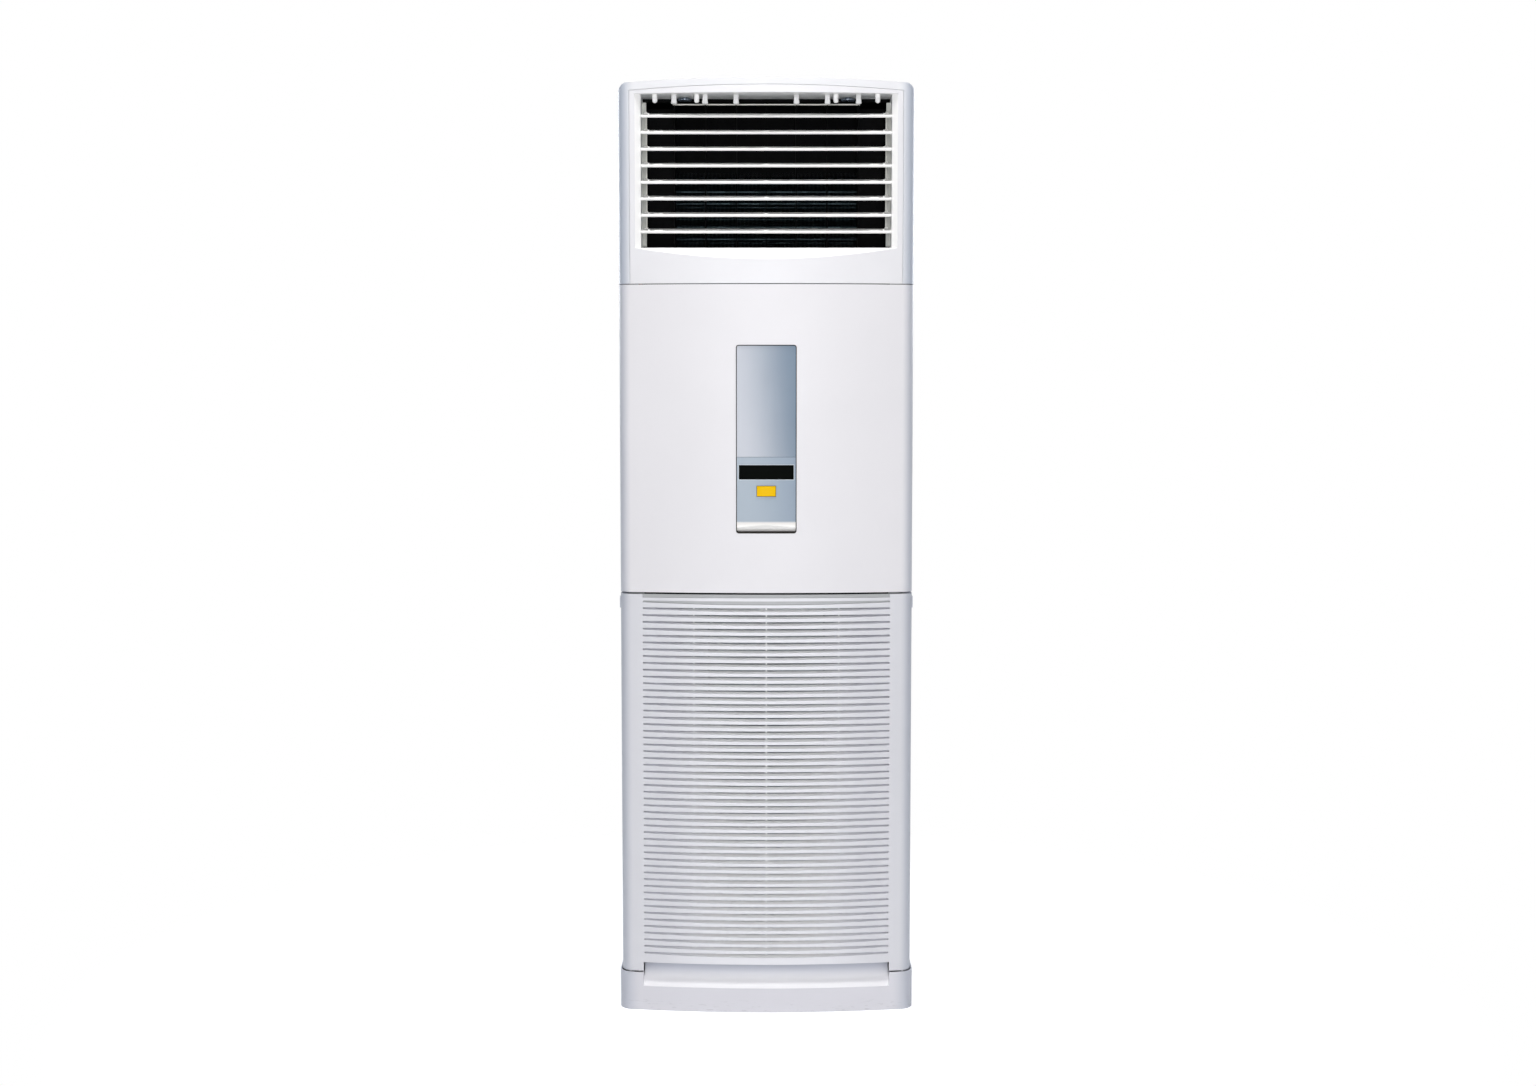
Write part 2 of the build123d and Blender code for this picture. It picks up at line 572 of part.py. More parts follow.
def back_panel():
    """The steel back, with stiffening beads, pipe and cable holes and wall-screw holes."""
    sheet = along_y(front_profile(TOP_FLAT_Z, 0, SHEET + 0.3), BACK_SKIN_Y, BACK_SKIN_Y + SHEET)
    sheet &= block(-WIDTH, WIDTH, 0, BACK_Y, BASE_SHEET, HEIGHT)
    for i in range(int((TOP_FLAT_Z - BEAD_TOP - BEAD_LOW_Z) / BEAD_PITCH)):
        z = BEAD_LOW_Z + i * BEAD_PITCH
        bead = rod_x(2 * BEAD_DEPTH, -CAB_HALF + BEAD_SIDE, CAB_HALF - BEAD_SIDE, BACK_SKIN_Y + SHEET, z)
        sheet += bead & block(-WIDTH, WIDTH, BACK_SKIN_Y + SHEET / 2, BACK_Y, 0, HEIGHT)
    sheet -= rod_y(PIPE_HOLE_R, PIPE_HOLE_X, 0, BACK_Y + 1, PIPE_Z)
    sheet -= rod_y(CABLE_HOLE_R, CABLE_HOLE_X, 0, BACK_Y + 1, PIPE_Z)
    for x in (-WALL_FIX_X / 2, WALL_FIX_X / 2):
        sheet -= rod_y(WALL_FIX_R, x, 0, BACK_Y + 1, WALL_FIX_Z)
    for x in (-BACK_SCREW_X, BACK_SCREW_X):
        for z in BACK_SCREW_ZS:
            sheet -= rod_y(SHANK_R + PIN_CLEARANCE, x, 0, BACK_Y + 1, z)
    return sheet


def top_cover():
    """The flat steel lid behind the hood, its sides folded down over the side panels."""
    lid = along_y(front_profile(TOP_FLAT_Z, 0, 0.1), RETURN_Y, BACK_Y)
    lid -= along_y(front_profile(TOP_FLAT_Z, 0, SHEET + 0.1), RETURN_Y - 1, BACK_Y + 1)
    low = TOP_FLAT_Z - TOP_CORNER_RADIUS - 2 * STEEL_FLANGE
    lid &= block(-WIDTH, WIDTH, RETURN_Y, BACK_Y, low, HEIGHT)
    for y in TOP_SCREW_YS:
        lid -= rod_x(SHANK_R + PIN_CLEARANCE, -CAB_HALF, CAB_HALF, y, TOP_SCREW_Z)
    return lid


def pan_screw():
    """A pan-head sheet screw, head up, with a crossed recess."""
    head = Cylinder(SCREW_R, SCREW_HEAD, align=(Align.CENTER, Align.CENTER, Align.MIN))
    shank = Cylinder(SHANK_R, SHANK_LENGTH, align=(Align.CENTER, Align.CENTER, Align.MAX))
    recess = Box(SCREW_R, 0.9, SCREW_HEAD) + Box(0.9, SCREW_R, SCREW_HEAD)
    return head + shank - Pos(0, 0, SCREW_HEAD) * recess


def casing_screws():
    """The screws of the back panel and of the top cover's sides."""
    screws = []
    for x in (-BACK_SCREW_X, BACK_SCREW_X):
        for z in BACK_SCREW_ZS:
            screws.append(Pos(x, BACK_SKIN_Y + SHEET, z) * Rot(-90, 0, 0) * pan_screw())
    for y in TOP_SCREW_YS:
        screws.append(Pos(CAB_HALF - 0.1, y, TOP_SCREW_Z) * Rot(0, 90, 0) * pan_screw())
        screws.append(Pos(-CAB_HALF + 0.1, y, TOP_SCREW_Z) * Rot(0, -90, 0) * pan_screw())
    return Compound(children=screws)


def grommets():
    """The rubber grommets of the pipe hole and the cable hole in the back."""
    rings = []
    for x, hole, wall in ((PIPE_HOLE_X, PIPE_HOLE_R, GROMMET_WALL),
                          (CABLE_HOLE_X, CABLE_HOLE_R, CABLE_WALL)):
        ring = rod_y(hole, x, BACK_SKIN_Y, BACK_SKIN_Y + SHEET, PIPE_Z)
        ring += rod_y(hole + GROMMET_LIP, x, BACK_SKIN_Y + SHEET, BACK_Y, PIPE_Z)
        ring += rod_y(hole + GROMMET_LIP, x, BACK_SKIN_Y - GROMMET_LIP, BACK_SKIN_Y, PIPE_Z)
        rings.append(ring - rod_y(hole - wall, x, 0, BACK_Y + 1, PIPE_Z))
    return Compound(children=rings)


def duct_liner():
    """The black foam on the back and under the lid, where the cooled air turns forward."""
    y1 = BACK_SKIN_Y - SHEET
    rear = BACK_SKIN_Y - SEAT_GAP
    back = block(-LINER_HALF, LINER_HALF, rear - LINER_THICK, rear, LINER_LOW_Z, LINER_HIGH_Z)
    inset = CAB_HALF - SIDE_IN
    hood = front_profile(TOP_FLAT_Z, 0, inset) - front_profile(TOP_FLAT_Z, 0, inset + LINER_THICK)
    lining = along_y(hood, RETURN_Y + ROOF_REACH, y1)
    foam = back + (lining & block(-WIDTH, WIDTH, FRONT_Y, BACK_Y, COIL_HIGH[1] + COIL_THICK, HEIGHT))
    hole = SHANK_R + LINER_GAP
    reach = SHANK_LENGTH + LINER_GAP
    for side in (-1, 1):
        foam -= rod_y(hole, side * BACK_SCREW_X, BACK_SKIN_Y - reach, BACK_Y, BACK_SCREW_ZS[-1])
        for y in TOP_SCREW_YS:
            foam -= rod_x(hole, side * (CAB_HALF - reach), side * CAB_HALF, y, TOP_SCREW_Z)
    return foam


# ---------------------------------------------------------------- moulded fronts
def frame_face(grow):
    """The outlet frame's outline seen from the front, with its arched top edge."""
    half = FRAME_HALF + grow
    side = FRAME_SIDE_TOP_Z + grow
    low = FRAME_LOW_Z - max(grow, 0)
    edges = [
        ThreePointArc((-half, side), (0, FRAME_MID_TOP_Z + grow), (half, side)),
        Line((half, side), (half, low)),
        Line((half, low), (-half, low)),
        Line((-half, low), (-half, side)),
    ]
    return make_face(edges)


def upper_casing():
    """The moulded hood: a band over the top and down both sides of the outlet frame."""
    hood = plan_solid(MARGIN, FRAME_LOW_Z, HEIGHT, RETURN_Y)
    hood &= along_y(front_profile(HEIGHT, CROWN_RISE), FRONT_Y, RETURN_Y)
    inner = plan_solid(SKIN, FRAME_LOW_Z - 1, HEIGHT, RETURN_Y + 1)
    inner &= along_y(front_profile(HEIGHT, CROWN_RISE, WALL), FRONT_Y, RETURN_Y + 1)
    hood -= inner
    hood -= along_y(frame_face(FRAME_SEAM), FRONT_Y, RETURN_Y - STEEL_FLANGE)
    span = (FRAME_LOW_Z, HEIGHT, RETURN_Y - 1)
    collar = frame_face(FRAME_SEAM + WALL)
    bridge = along_y(collar - frame_face(FRAME_SEAM), FRONT_Y, RETURN_Y)
    ledge = along_y(collar - frame_face(-LEDGE), FRONT_Y, RETURN_Y)
    hood += bridge & plan_shell(SKIN - 1, 1 + WALL, *span)
    hood += ledge & plan_shell(SKIN + SEAT_GAP, WALL - SEAT_GAP, *span)
    return hood & block(-WIDTH, WIDTH, FRONT_Y, 0, FRAME_LOW_Z, HEIGHT)


def outlet_frame():
    """The moulded outlet: bowed face, bevelled side reveals, sloping sill and duct walls."""
    face = along_y(frame_face(0), FRONT_Y, RETURN_Y)
    face &= plan_shell(MARGIN, WALL, FRAME_LOW_Z, HEIGHT, RETURN_Y)
    front = SILL_BACK_Y - CAB_FRONT_Y
    slope = SILL_DROP / front
    reach = 10.0
    far = (CAB_FRONT_Y - reach, MOUTH_LOW_Z - slope * (front + reach))
    mouth = outline((SILL_BACK_Y, MOUTH_LOW_Z), (0, MOUTH_LOW_Z), (0, MOUTH_HIGH_Z),
                    (far[0], MOUTH_HIGH_Z), far)
    face -= along_x(mouth, -RIM_HALF, RIM_HALF)
    roof_y = RETURN_Y + ROOF_REACH
    sill = outline((SILL_BACK_Y, MOUTH_LOW_Z), (roof_y, MOUTH_LOW_Z),
                   (roof_y, MOUTH_LOW_Z - WALL), (SILL_BACK_Y, MOUTH_LOW_Z - WALL),
                   (far[0], far[1] - WALL), far)
    shelf = along_x(sill, -RIM_HALF - WALL, RIM_HALF + WALL)
    roof = block(-RIM_HALF - WALL, RIM_HALF + WALL, FRONT_Y, roof_y, MOUTH_HIGH_Z, MOUTH_HIGH_Z + WALL)
    rim_y = bow_y(RIM_HALF, MARGIN)
    wall = outline((RIM_HALF, rim_y), (MOUTH_HALF, REVEAL_BACK_Y), (MOUTH_HALF, DUCT_BACK_Y),
                   (MOUTH_HALF + WALL, DUCT_BACK_Y), (MOUTH_HALF + WALL, REVEAL_BACK_Y + 1.5),
                   (RIM_HALF + WALL, rim_y + 1.5), (RIM_HALF + WALL, rim_y))
    side = along_z(wall, MOUTH_LOW_Z - WALL, MOUTH_HIGH_Z + WALL)
    inside = plan_solid(MARGIN, 0, HEIGHT)
    frame = face + ((shelf + roof + side + mirrored(side)) & inside)
    for z in LOUVRE_ZS:
        frame -= rod_x(LOUVRE_PIN_R + PIN_CLEARANCE, -RIM_HALF, RIM_HALF, LOUVRE_Y, z)
    for x in PEG_XS:
        low = MOUTH_HIGH_Z - PEG_LENGTH + PEG_R
        frame += rod_z(PEG_R, x, PEG_Y, low, MOUTH_HIGH_Z + WALL)
        frame += Pos(x, PEG_Y, low) * Sphere(PEG_R)
    return frame - rod_z(VANE_PIN_R + 1, VANE_XS[SWING_VANE], VANE_Y, MOUTH_HIGH_Z - 1, HEIGHT)


def strip_opening(grow):
    """The display strip's outline with rounded corners, grown by a gap and run through along Y."""
    half, low, high = STRIP_HALF + grow, STRIP_LOW_Z - grow, STRIP_HIGH_Z + grow
    face = outline((-half, low), (half, low), (half, high), (-half, high))
    return along_y(fillet(face.vertices(), STRIP_CORNER + grow), FRONT_Y, RETURN_Y)


def front_panel():
    """The bowed middle panel with its side returns, and the cut-out for the display strip."""
    panel = plan_shell(MARGIN, WALL, PANEL_LOW_Z, PANEL_HIGH_Z, RETURN_Y)
    for z in (PANEL_LOW_Z, PANEL_HIGH_Z - WALL):
        panel += plan_shell(MARGIN + 1, PANEL_FLANGE, z, z + WALL, RETURN_Y)
    return panel - strip_opening(STRIP_GAP)


def intake_grille():
    """The bowed lower grille: horizontal slots between solid margins, side returns, pivot ears."""
    back = RETURN_Y - 0.5
    grille = plan_shell(MARGIN, WALL, GRILLE_LOW_Z, GRILLE_HIGH_Z, back)
    grille += plan_shell(MARGIN + 1, PANEL_FLANGE, GRILLE_HIGH_Z - WALL, GRILLE_HIGH_Z, back)
    bed = plan_shell(MARGIN, GRILLE_THICK, SCOOP_HIGH_Z, GRILLE_HIGH_Z, back)
    bed &= block(-SLOT_HALF - WALL, SLOT_HALF + WALL, FRONT_Y, back, SCOOP_HIGH_Z, GRILLE_HIGH_Z)
    grille += bed
    reach = 10.0
    depth = SLOT_HEIGHT / SLOT_SLOPE
    slots = []
    for i in range(-1, SLOT_COUNT):
        top = SLOT_TOP_Z - i * SLOT_PITCH
        wedge = outline((CAB_FRONT_Y - reach, top), (CAB_FRONT_Y + depth, top),
                        (CAB_FRONT_Y - reach, top - SLOT_HEIGHT - reach * SLOT_SLOPE))
        slots.append(along_x(wedge, -SLOT_HALF, SLOT_HALF))
    blind = plan_shell(MARGIN - 1, BLIND_DEPTH + 1, SLOT_TOP_Z, HEIGHT, back)
    step = block(-SLOT_HALF, SLOT_HALF, FRONT_Y, back, SLOT_TOP_Z + 1.45 * SLOT_PITCH, HEIGHT)
    grille = grille - slots[1:] - (slots[0] & blind) - (step & blind)
    grille -= block(-SCOOP_HALF, SCOOP_HALF, FRONT_Y, back, 0, SCOOP_HIGH_Z)
    spine = plan_shell(MARGIN + GRILLE_THICK - 2, RIB_DEPTH, SCOOP_HIGH_Z, GRILLE_HIGH_Z, back)
    for x in RIB_XS:
        grille += spine & block(x - RIB_THICK / 2, x + RIB_THICK / 2, FRONT_Y, back, 0, HEIGHT)
    half = CLIP_WIDTH / 2 + CLIP_GAP
    for side in (-1, 1):
        grille -= block(side * (CAB_HALF - 2 * WALL), side * (CAB_HALF + 1), CLIP_Y - half, CLIP_Y + half,
                        CLIP_LOW_Z - CLIP_GAP, CLIP_LOW_Z + CLIP_HEIGHT + CLIP_GAP)
        x0, x1 = side * TILT_EAR_X, side * (TILT_EAR_X + TILT_EAR_THICK)
        ear = rod_x(TILT_EAR_R, x0, x1, TILT_Y, TILT_Z)
        ear += block(x0, x1, TILT_Y - TILT_EAR_R, TILT_Y + 2, TILT_Z, TILT_Z + 5 * TILT_EAR_R)
        ear += block(x0, x1, FRONT_Y, TILT_Y, TILT_Z + 2 * TILT_EAR_R, TILT_Z + 5 * TILT_EAR_R)
        ear &= plan_solid(MARGIN + 1, 0, HEIGHT)
        grille += ear
        grille -= rod_x(TILT_PIN_R + PIN_CLEARANCE, x0 - side, x1 + side, TILT_Y, TILT_Z)
    return grille


def grille_hinges():
    """Two steel brackets on the base pan with the fixed pins that the grille tilts on."""
    x0 = TILT_EAR_X - 2 - 3 * SHEET
    x1 = TILT_EAR_X - 2
    inset = WIDTH / 2 - SIDE_IN
    bracket = block(x0, x1, TILT_Y - 6, TILT_Y + 8, BASE_SHEET, TILT_Z + 6)
    bracket &= plan_solid(inset + BASE_SHEET, 0, HEIGHT)
    bracket += rod_x(TILT_PIN_R, x1 - 1, TILT_EAR_X + TILT_EAR_THICK + 2, TILT_Y, TILT_Z)
    return Compound(children=[bracket, mirrored(bracket)])


def grille_clip(side):
    """A press-in side clip: a pad through the grille's return, with a flange inside it."""
    half = CLIP_WIDTH / 2
    inner = CAB_HALF - WALL - CLIP_GAP
    pad = block(inner, CAB_HALF + CLIP_PROUD, CLIP_Y - half, CLIP_Y + half,
                CLIP_LOW_Z, CLIP_LOW_Z + CLIP_HEIGHT)
    pad = fillet(pad.faces().sort_by(Axis.X)[-1].edges(), 1.2)
    pad += block(inner - CLIP_FLANGE, inner, CLIP_Y - half, CLIP_Y + half,
                 CLIP_LOW_Z - 4, CLIP_LOW_Z + CLIP_HEIGHT + 2)
    return pad if side > 0 else mirrored(pad)


# ---------------------------------------------------------------- display strip
def strip_slab(low, high, depth):
    """A slab of the display strip whose front follows the panel's bow."""
    slab = plan_shell(MARGIN + STRIP_INSET, depth, low, high, RETURN_Y)
    return slab & strip_opening(0)


def trim_plate():
    """The plain upper plate of the display strip."""
    return strip_slab(STRIP_SEAM_Z + STRIP_SEAM, STRIP_HIGH_Z, PLATE_THICK)


def control_plate():
    """The lower plate, with openings for window and button and a rolled lower lip."""
    plate = strip_slab(STRIP_LOW_Z, STRIP_SEAM_Z, LIP_RADIUS)
    face_y = CAB_FRONT_Y + STRIP_INSET
    hidden = face_y + PLATE_DEPTH
    round_y = face_y + LIP_RADIUS
    corner = block(-STRIP_HALF - 1, STRIP_HALF + 1, FRONT_Y, round_y,
                   STRIP_LOW_Z - 1, STRIP_LOW_Z + LIP_RADIUS)
    corner -= rod_x(LIP_RADIUS, -STRIP_HALF - 2, STRIP_HALF + 2, round_y, STRIP_LOW_Z + LIP_RADIUS)
    plate -= corner
    plate -= block(-STRIP_HALF + PLATE_THICK, STRIP_HALF - PLATE_THICK, hidden, RETURN_Y,
                   STRIP_LOW_Z + LIP_RADIUS, HEIGHT)
    plate -= rod_x(LIP_RADIUS - PLATE_DEPTH, -STRIP_HALF + PLATE_THICK, STRIP_HALF - PLATE_THICK,
                   round_y, STRIP_LOW_Z + LIP_RADIUS)
    plate -= block(-WINDOW_HALF, WINDOW_HALF, FRONT_Y, RETURN_Y, WINDOW_LOW_Z, WINDOW_HIGH_Z)
    half = BUTTON_WIDTH / 2 + BUTTON_GAP
    tall = BUTTON_HEIGHT / 2 + BUTTON_GAP
    return plate - block(-half, half, FRONT_Y, RETURN_Y, BUTTON_Z - tall, BUTTON_Z + tall)


def display_window():
    """The dark glazed window, flush in the control plate."""
    pane = plan_shell(MARGIN + STRIP_INSET + 0.3, PLATE_THICK, WINDOW_LOW_Z, WINDOW_HIGH_Z, RETURN_Y)
    return pane & block(-WINDOW_HALF, WINDOW_HALF, FRONT_Y, RETURN_Y, WINDOW_LOW_Z, WINDOW_HIGH_Z)


def push_button():
    """The operating button: a pillowed cap with a stem that reaches back to the board."""
    face_y = CAB_FRONT_Y + STRIP_INSET
    half, tall = BUTTON_WIDTH / 2, BUTTON_HEIGHT / 2
    cap = block(-half, half, face_y - BUTTON_PROUD, face_y + PLATE_THICK + 2,
                BUTTON_Z - tall, BUTTON_Z + tall)
    cap = fillet(cap.faces().sort_by(Axis.Y)[0].edges(), 0.9)
    end = face_y + PLATE_THICK + 2 + BUTTON_STEM
    return cap + rod_y(3, 0, face_y + PLATE_THICK + 1, end, BUTTON_Z)


def display_board():
    """The display's circuit board on posts behind the control plate, with the button's switch."""
    face_y = CAB_FRONT_Y + STRIP_INSET
    board_y = face_y + PLATE_THICK + 2 + BUTTON_STEM + BUTTON_TRAVEL + 1
    half = STRIP_HALF - 2 * PLATE_THICK
    low, high = STRIP_LOW_Z + 2 * LIP_RADIUS, STRIP_SEAM_Z - PLATE_THICK
    board = block(-half, half, board_y, board_y + BOARD_THICK, low, high)
    board += block(-half + 8, half - 8, face_y + PLATE_DEPTH + 0.6, board_y,
                   WINDOW_LOW_Z + 2, WINDOW_HIGH_Z - 2)
    for x in (-half + 5, half - 5):
        for z in (low + 6, high - 6):
            board += rod_y(2.5, x, face_y + PLATE_DEPTH, board_y, z)
    return board + block(-3, 3, board_y - 0.7, board_y, BUTTON_Z - 3, BUTTON_Z + 3)


def strip_housing():
    """The moulded tray behind the display strip: it closes the panel's cut-out from inside."""
    low, high = STRIP_LOW_Z - HOUSING_LAP, STRIP_HIGH_Z + HOUSING_LAP
    half = STRIP_HALF + HOUSING_LAP
    skin_y = bow_y(half, SKIN) + SEAT_GAP
    back_y = CAB_FRONT_Y + STRIP_INSET + HOUSING_DEPTH
    tray = block(-half, half, skin_y, back_y, low, high)
    tray -= block(-STRIP_HALF - 0.3, STRIP_HALF + 0.3, FRONT_Y, back_y - WALL,
                  STRIP_LOW_Z - 0.3, STRIP_HIGH_Z + 0.3)
    face_y = CAB_FRONT_Y + STRIP_INSET + PLATE_THICK + 1.4
    shelf = block(-STRIP_HALF - 1, STRIP_HALF + 1, face_y, face_y + WALL,
                  STRIP_SEAM_Z + 2, STRIP_HIGH_Z + 1)
    return tray + shelf


# ---------------------------------------------------------------- louvres
def blade_face():
    """A louvre's section about its axis: a rounded nose that thins to the tail."""
    front, rear = -LOUVRE_CHORD / 2, LOUVRE_CHORD / 2
    r = LOUVRE_NOSE / 2
    t = LOUVRE_TAIL / 2
    nose = ThreePointArc((front + r, r), (front, 0), (front + r, -r))
    edges = [nose, Line((front + r, -r), (front + 3.2 * r, -t)), Line((front + 3.2 * r, -t), (rear, -t)),
             Line((rear, -t), (rear, t)), Line((rear, t), (front + 3.2 * r, t)),
             Line((front + 3.2 * r, t), (front + r, r))]
    return make_face(edges)


def louvre(z):
    """One horizontal louvre: blade, end pins, and an ear with a peg for each link."""
    half = MOUTH_HALF - LOUVRE_END_GAP
    blade = along_x(blade_face(), -half, half)
    ear_in = LINK_X + LINK_THICK / 2 + LINK_GAP
    ear_tall = LOUVRE_PEG_R + 1.2
    for side in (-1, 1):
        blade += rod_x(LOUVRE_PIN_R, side * (half - 4), side * (MOUTH_HALF + WALL), 0, 0)
        x0, x1 = side * ear_in, side * (ear_in + LOUVRE_EAR)
        blade += block(x0, x1, LOUVRE_CHORD / 2 - 6, LOUVRE_ARM, -ear_tall, ear_tall)
        blade += rod_x(ear_tall, x0, x1, LOUVRE_ARM, 0)
        blade += rod_x(LOUVRE_PEG_R, side * (LINK_X - LINK_THICK), x1, LOUVRE_ARM, 0)
    return Pos(0, LOUVRE_Y, z) * Rot(LOUVRE_TILT, 0, 0) * blade


def louvre_peg(z):
    """Where a louvre's peg lies at rest, in y and z."""
    tilt = math.radians(LOUVRE_TILT)
    return LOUVRE_Y + LOUVRE_ARM * math.cos(tilt), z + LOUVRE_ARM * math.sin(tilt)


def louvre_links():
    """The two upright bars that tie all the louvres' pegs together."""
    y, top = louvre_peg(LOUVRE_ZS[0])
    low = louvre_peg(LOUVRE_ZS[-1])[1]
    bar = block(LINK_X - LINK_THICK / 2, LINK_X + LINK_THICK / 2,
                y - LINK_WIDTH / 2, y + LINK_WIDTH / 2, low - LINK_WIDTH / 2, top + LINK_WIDTH / 2)
    for z in LOUVRE_ZS:
        peg_y, peg_z = louvre_peg(z)
        bar -= rod_x(LOUVRE_PEG_R + PIN_CLEARANCE, LINK_X - LINK_THICK, LINK_X + LINK_THICK,
                     peg_y, peg_z)
    return Compound(children=[bar, mirrored(bar)])


# ---------------------------------------------------------------- upright vanes
def vane(x):
    """One upright vane: blade with a notched upper front corner, two pins and the link's peg."""
    front, rear = VANE_Y - VANE_CHORD / 2, VANE_Y + VANE_CHORD / 2
    step_y = VANE_Y - VANE_ARM + 6
    face = outline((front, VANE_LOW_Z), (rear, VANE_LOW_Z), (rear, VANE_HIGH_Z), (step_y, VANE_HIGH_Z),
                   (step_y, VANE_LINK_Z - LINK_GAP), (front, VANE_LINK_Z - LINK_GAP))
    blade = along_x(face, x - VANE_THICK / 2, x + VANE_THICK / 2)
    blade += rod_z(VANE_BOSS_R, x, VANE_Y, VANE_LOW_Z, VANE_LOW_Z + 12)
    blade += rod_z(VANE_BOSS_R, x, VANE_Y, VANE_HIGH_Z - 12, VANE_HIGH_Z)
    blade += rod_z(VANE_PIN_R, x, VANE_Y, VANE_LOW_Z - VANE_GAP - RAIL_HEIGHT + 1, VANE_LOW_Z)
    blade += rod_z(VANE_PIN_R, x, VANE_Y, VANE_HIGH_Z, MOUTH_HIGH_Z - 1)
    blade += rod_z(LOUVRE_PEG_R, x, VANE_Y - VANE_ARM, VANE_LINK_Z - 8, VANE_LINK_Z + 2 * LINK_THICK)
    return blade


def vane_link():
    """The slim cross bar that ties the vanes' pegs together."""
    y = VANE_Y - VANE_ARM
    end = max(VANE_XS) + LINK_WIDTH / 2
    bar = block(-end, end, y - LINK_WIDTH / 2, y + LINK_WIDTH / 2, VANE_LINK_Z, VANE_LINK_Z + LINK_THICK)
    for x in VANE_XS:
        bar -= rod_z(LOUVRE_PEG_R + PIN_CLEARANCE, x, y, VANE_LINK_Z - 1, VANE_LINK_Z + LINK_THICK + 1)
    return bar


def vane_carrier():
    """The two rails that the vanes turn in, joined by the fixed centre divider."""
    y0, y1 = VANE_Y - RAIL_DEPTH / 2, VANE_Y + RAIL_DEPTH / 2
    half = MOUTH_HALF - SEAT_GAP
    rails = block(-half, half, y0, y1, MOUTH_LOW_Z, MOUTH_LOW_Z + RAIL_HEIGHT)
    rails += block(-half, half, y0, y1, MOUTH_HIGH_Z - RAIL_HEIGHT, MOUTH_HIGH_Z)
    front = VANE_Y - VANE_CHORD / 2
    divider = block(-VANE_THICK / 2, VANE_THICK / 2, front, VANE_Y + VANE_CHORD / 2,
                    MOUTH_LOW_Z, MOUTH_HIGH_Z)
    divider -= block(-5, 5, FRONT_Y, y0 - 0.5, VANE_LINK_Z - 6, HEIGHT)
    rails += divider
    for x in VANE_XS:
        rails -= rod_z(VANE_PIN_R + PIN_CLEARANCE, x, VANE_Y, MOUTH_LOW_Z - 1, MOUTH_HIGH_Z + 1)
    return rails


def swing_motor():
    """The small geared motor over the duct's roof that turns the vanes through one vane's pin."""
    low = MOUTH_HIGH_Z + WALL
    x = VANE_XS[SWING_VANE]
    body = rod_z(SWING_MOTOR_R, x, VANE_Y, low, low + SWING_MOTOR_LENGTH)
    body += block(x - 21, x + 21, VANE_Y - 5, VANE_Y + 5, low, low + SHEET)
    return body + rod_z(VANE_PIN_R - 0.2, x, VANE_Y, MOUTH_HIGH_Z - 0.7, low + 1)


# ---------------------------------------------------------------- blower
def scroll_face(inset, top):
    """The scroll seen from the front: three growing quarter arcs and an upward throat."""
    r1, r2, r3 = [r - inset for r in SCROLL_RADII]
    s1, s2, s3 = SCROLL_RADII
    right = (s1 - s2, FAN_Z)
    left = (right[0], FAN_Z - s2 + s3)
    far = left[0] - r3
    tongue = FAN_Z + s1 + TONGUE_RISE - inset
    k = math.sqrt(0.5)
    edges = [
        ThreePointArc((0, FAN_Z + r1), (r1 * k, FAN_Z + r1 * k), (r1, FAN_Z)),
        ThreePointArc((r1, FAN_Z), (right[0] + r2 * k, FAN_Z - r2 * k), (right[0], FAN_Z - r2)),
        ThreePointArc((right[0], FAN_Z - r2), (left[0] - r3 * k, left[1] - r3 * k), (far, left[1])),
        Line((far, left[1]), (far, top)),
        Line((far, top), (THROAT_X - inset, top)),
        Line((THROAT_X - inset, top), (TONGUE_X, tongue)),
        Line((TONGUE_X, tongue), (0, FAN_Z + r1)),
    ]
    return make_face(edges)


def scroll_housing():
    """The sheet scroll round the wheel, open at the eye, at the motor and at the top."""
    shell = along_y(scroll_face(0, DECK_Z), SCROLL_FRONT_Y, SCROLL_BACK_Y)
    shell -= along_y(scroll_face(SCROLL_SHEET, DECK_Z + 10), SCROLL_FRONT_Y + SCROLL_SHEET,
                     SCROLL_BACK_Y - SCROLL_SHEET)
    shell -= rod_y(BELL_R + 3, 0, SCROLL_FRONT_Y - 1, 0, FAN_Z)
    return shell - rod_y(MOTOR_HOLE_R, 0, 0, SCROLL_BACK_Y + 1, FAN_Z)


def inlet_bell():
    """The spun inlet ring: a flange on the bulkhead that flares into the wheel's eye."""
    flare_y = BULKHEAD_Y + BELL_FLARE
    r = BELL_R
    wall = SCROLL_SHEET
    k = math.sqrt(0.5)
    inner = BELL_FLARE - wall
    mouth = r + BELL_FLARE
    edges = [
        Line((r, BELL_END_Y), (r, flare_y)),
        ThreePointArc((r, flare_y), (mouth - BELL_FLARE * k, flare_y - BELL_FLARE * k),
                      (mouth, BULKHEAD_Y)),
        Line((mouth, BULKHEAD_Y), (mouth + BELL_FLANGE, BULKHEAD_Y)),
        Line((mouth + BELL_FLANGE, BULKHEAD_Y), (mouth + BELL_FLANGE, BULKHEAD_Y + wall)),
        Line((mouth + BELL_FLANGE, BULKHEAD_Y + wall), (mouth, BULKHEAD_Y + wall)),
        ThreePointArc((mouth, BULKHEAD_Y + wall), (mouth - inner * k, flare_y - inner * k),
                      (r + wall, flare_y)),
        Line((r + wall, flare_y), (r + wall, BELL_END_Y)),
        Line((r + wall, BELL_END_Y), (r, BELL_END_Y)),
    ]
    ring = revolve(make_face(edges), axis=Axis.Y, revolution_arc=360)
    return Pos(0, 0, FAN_Z) * ring


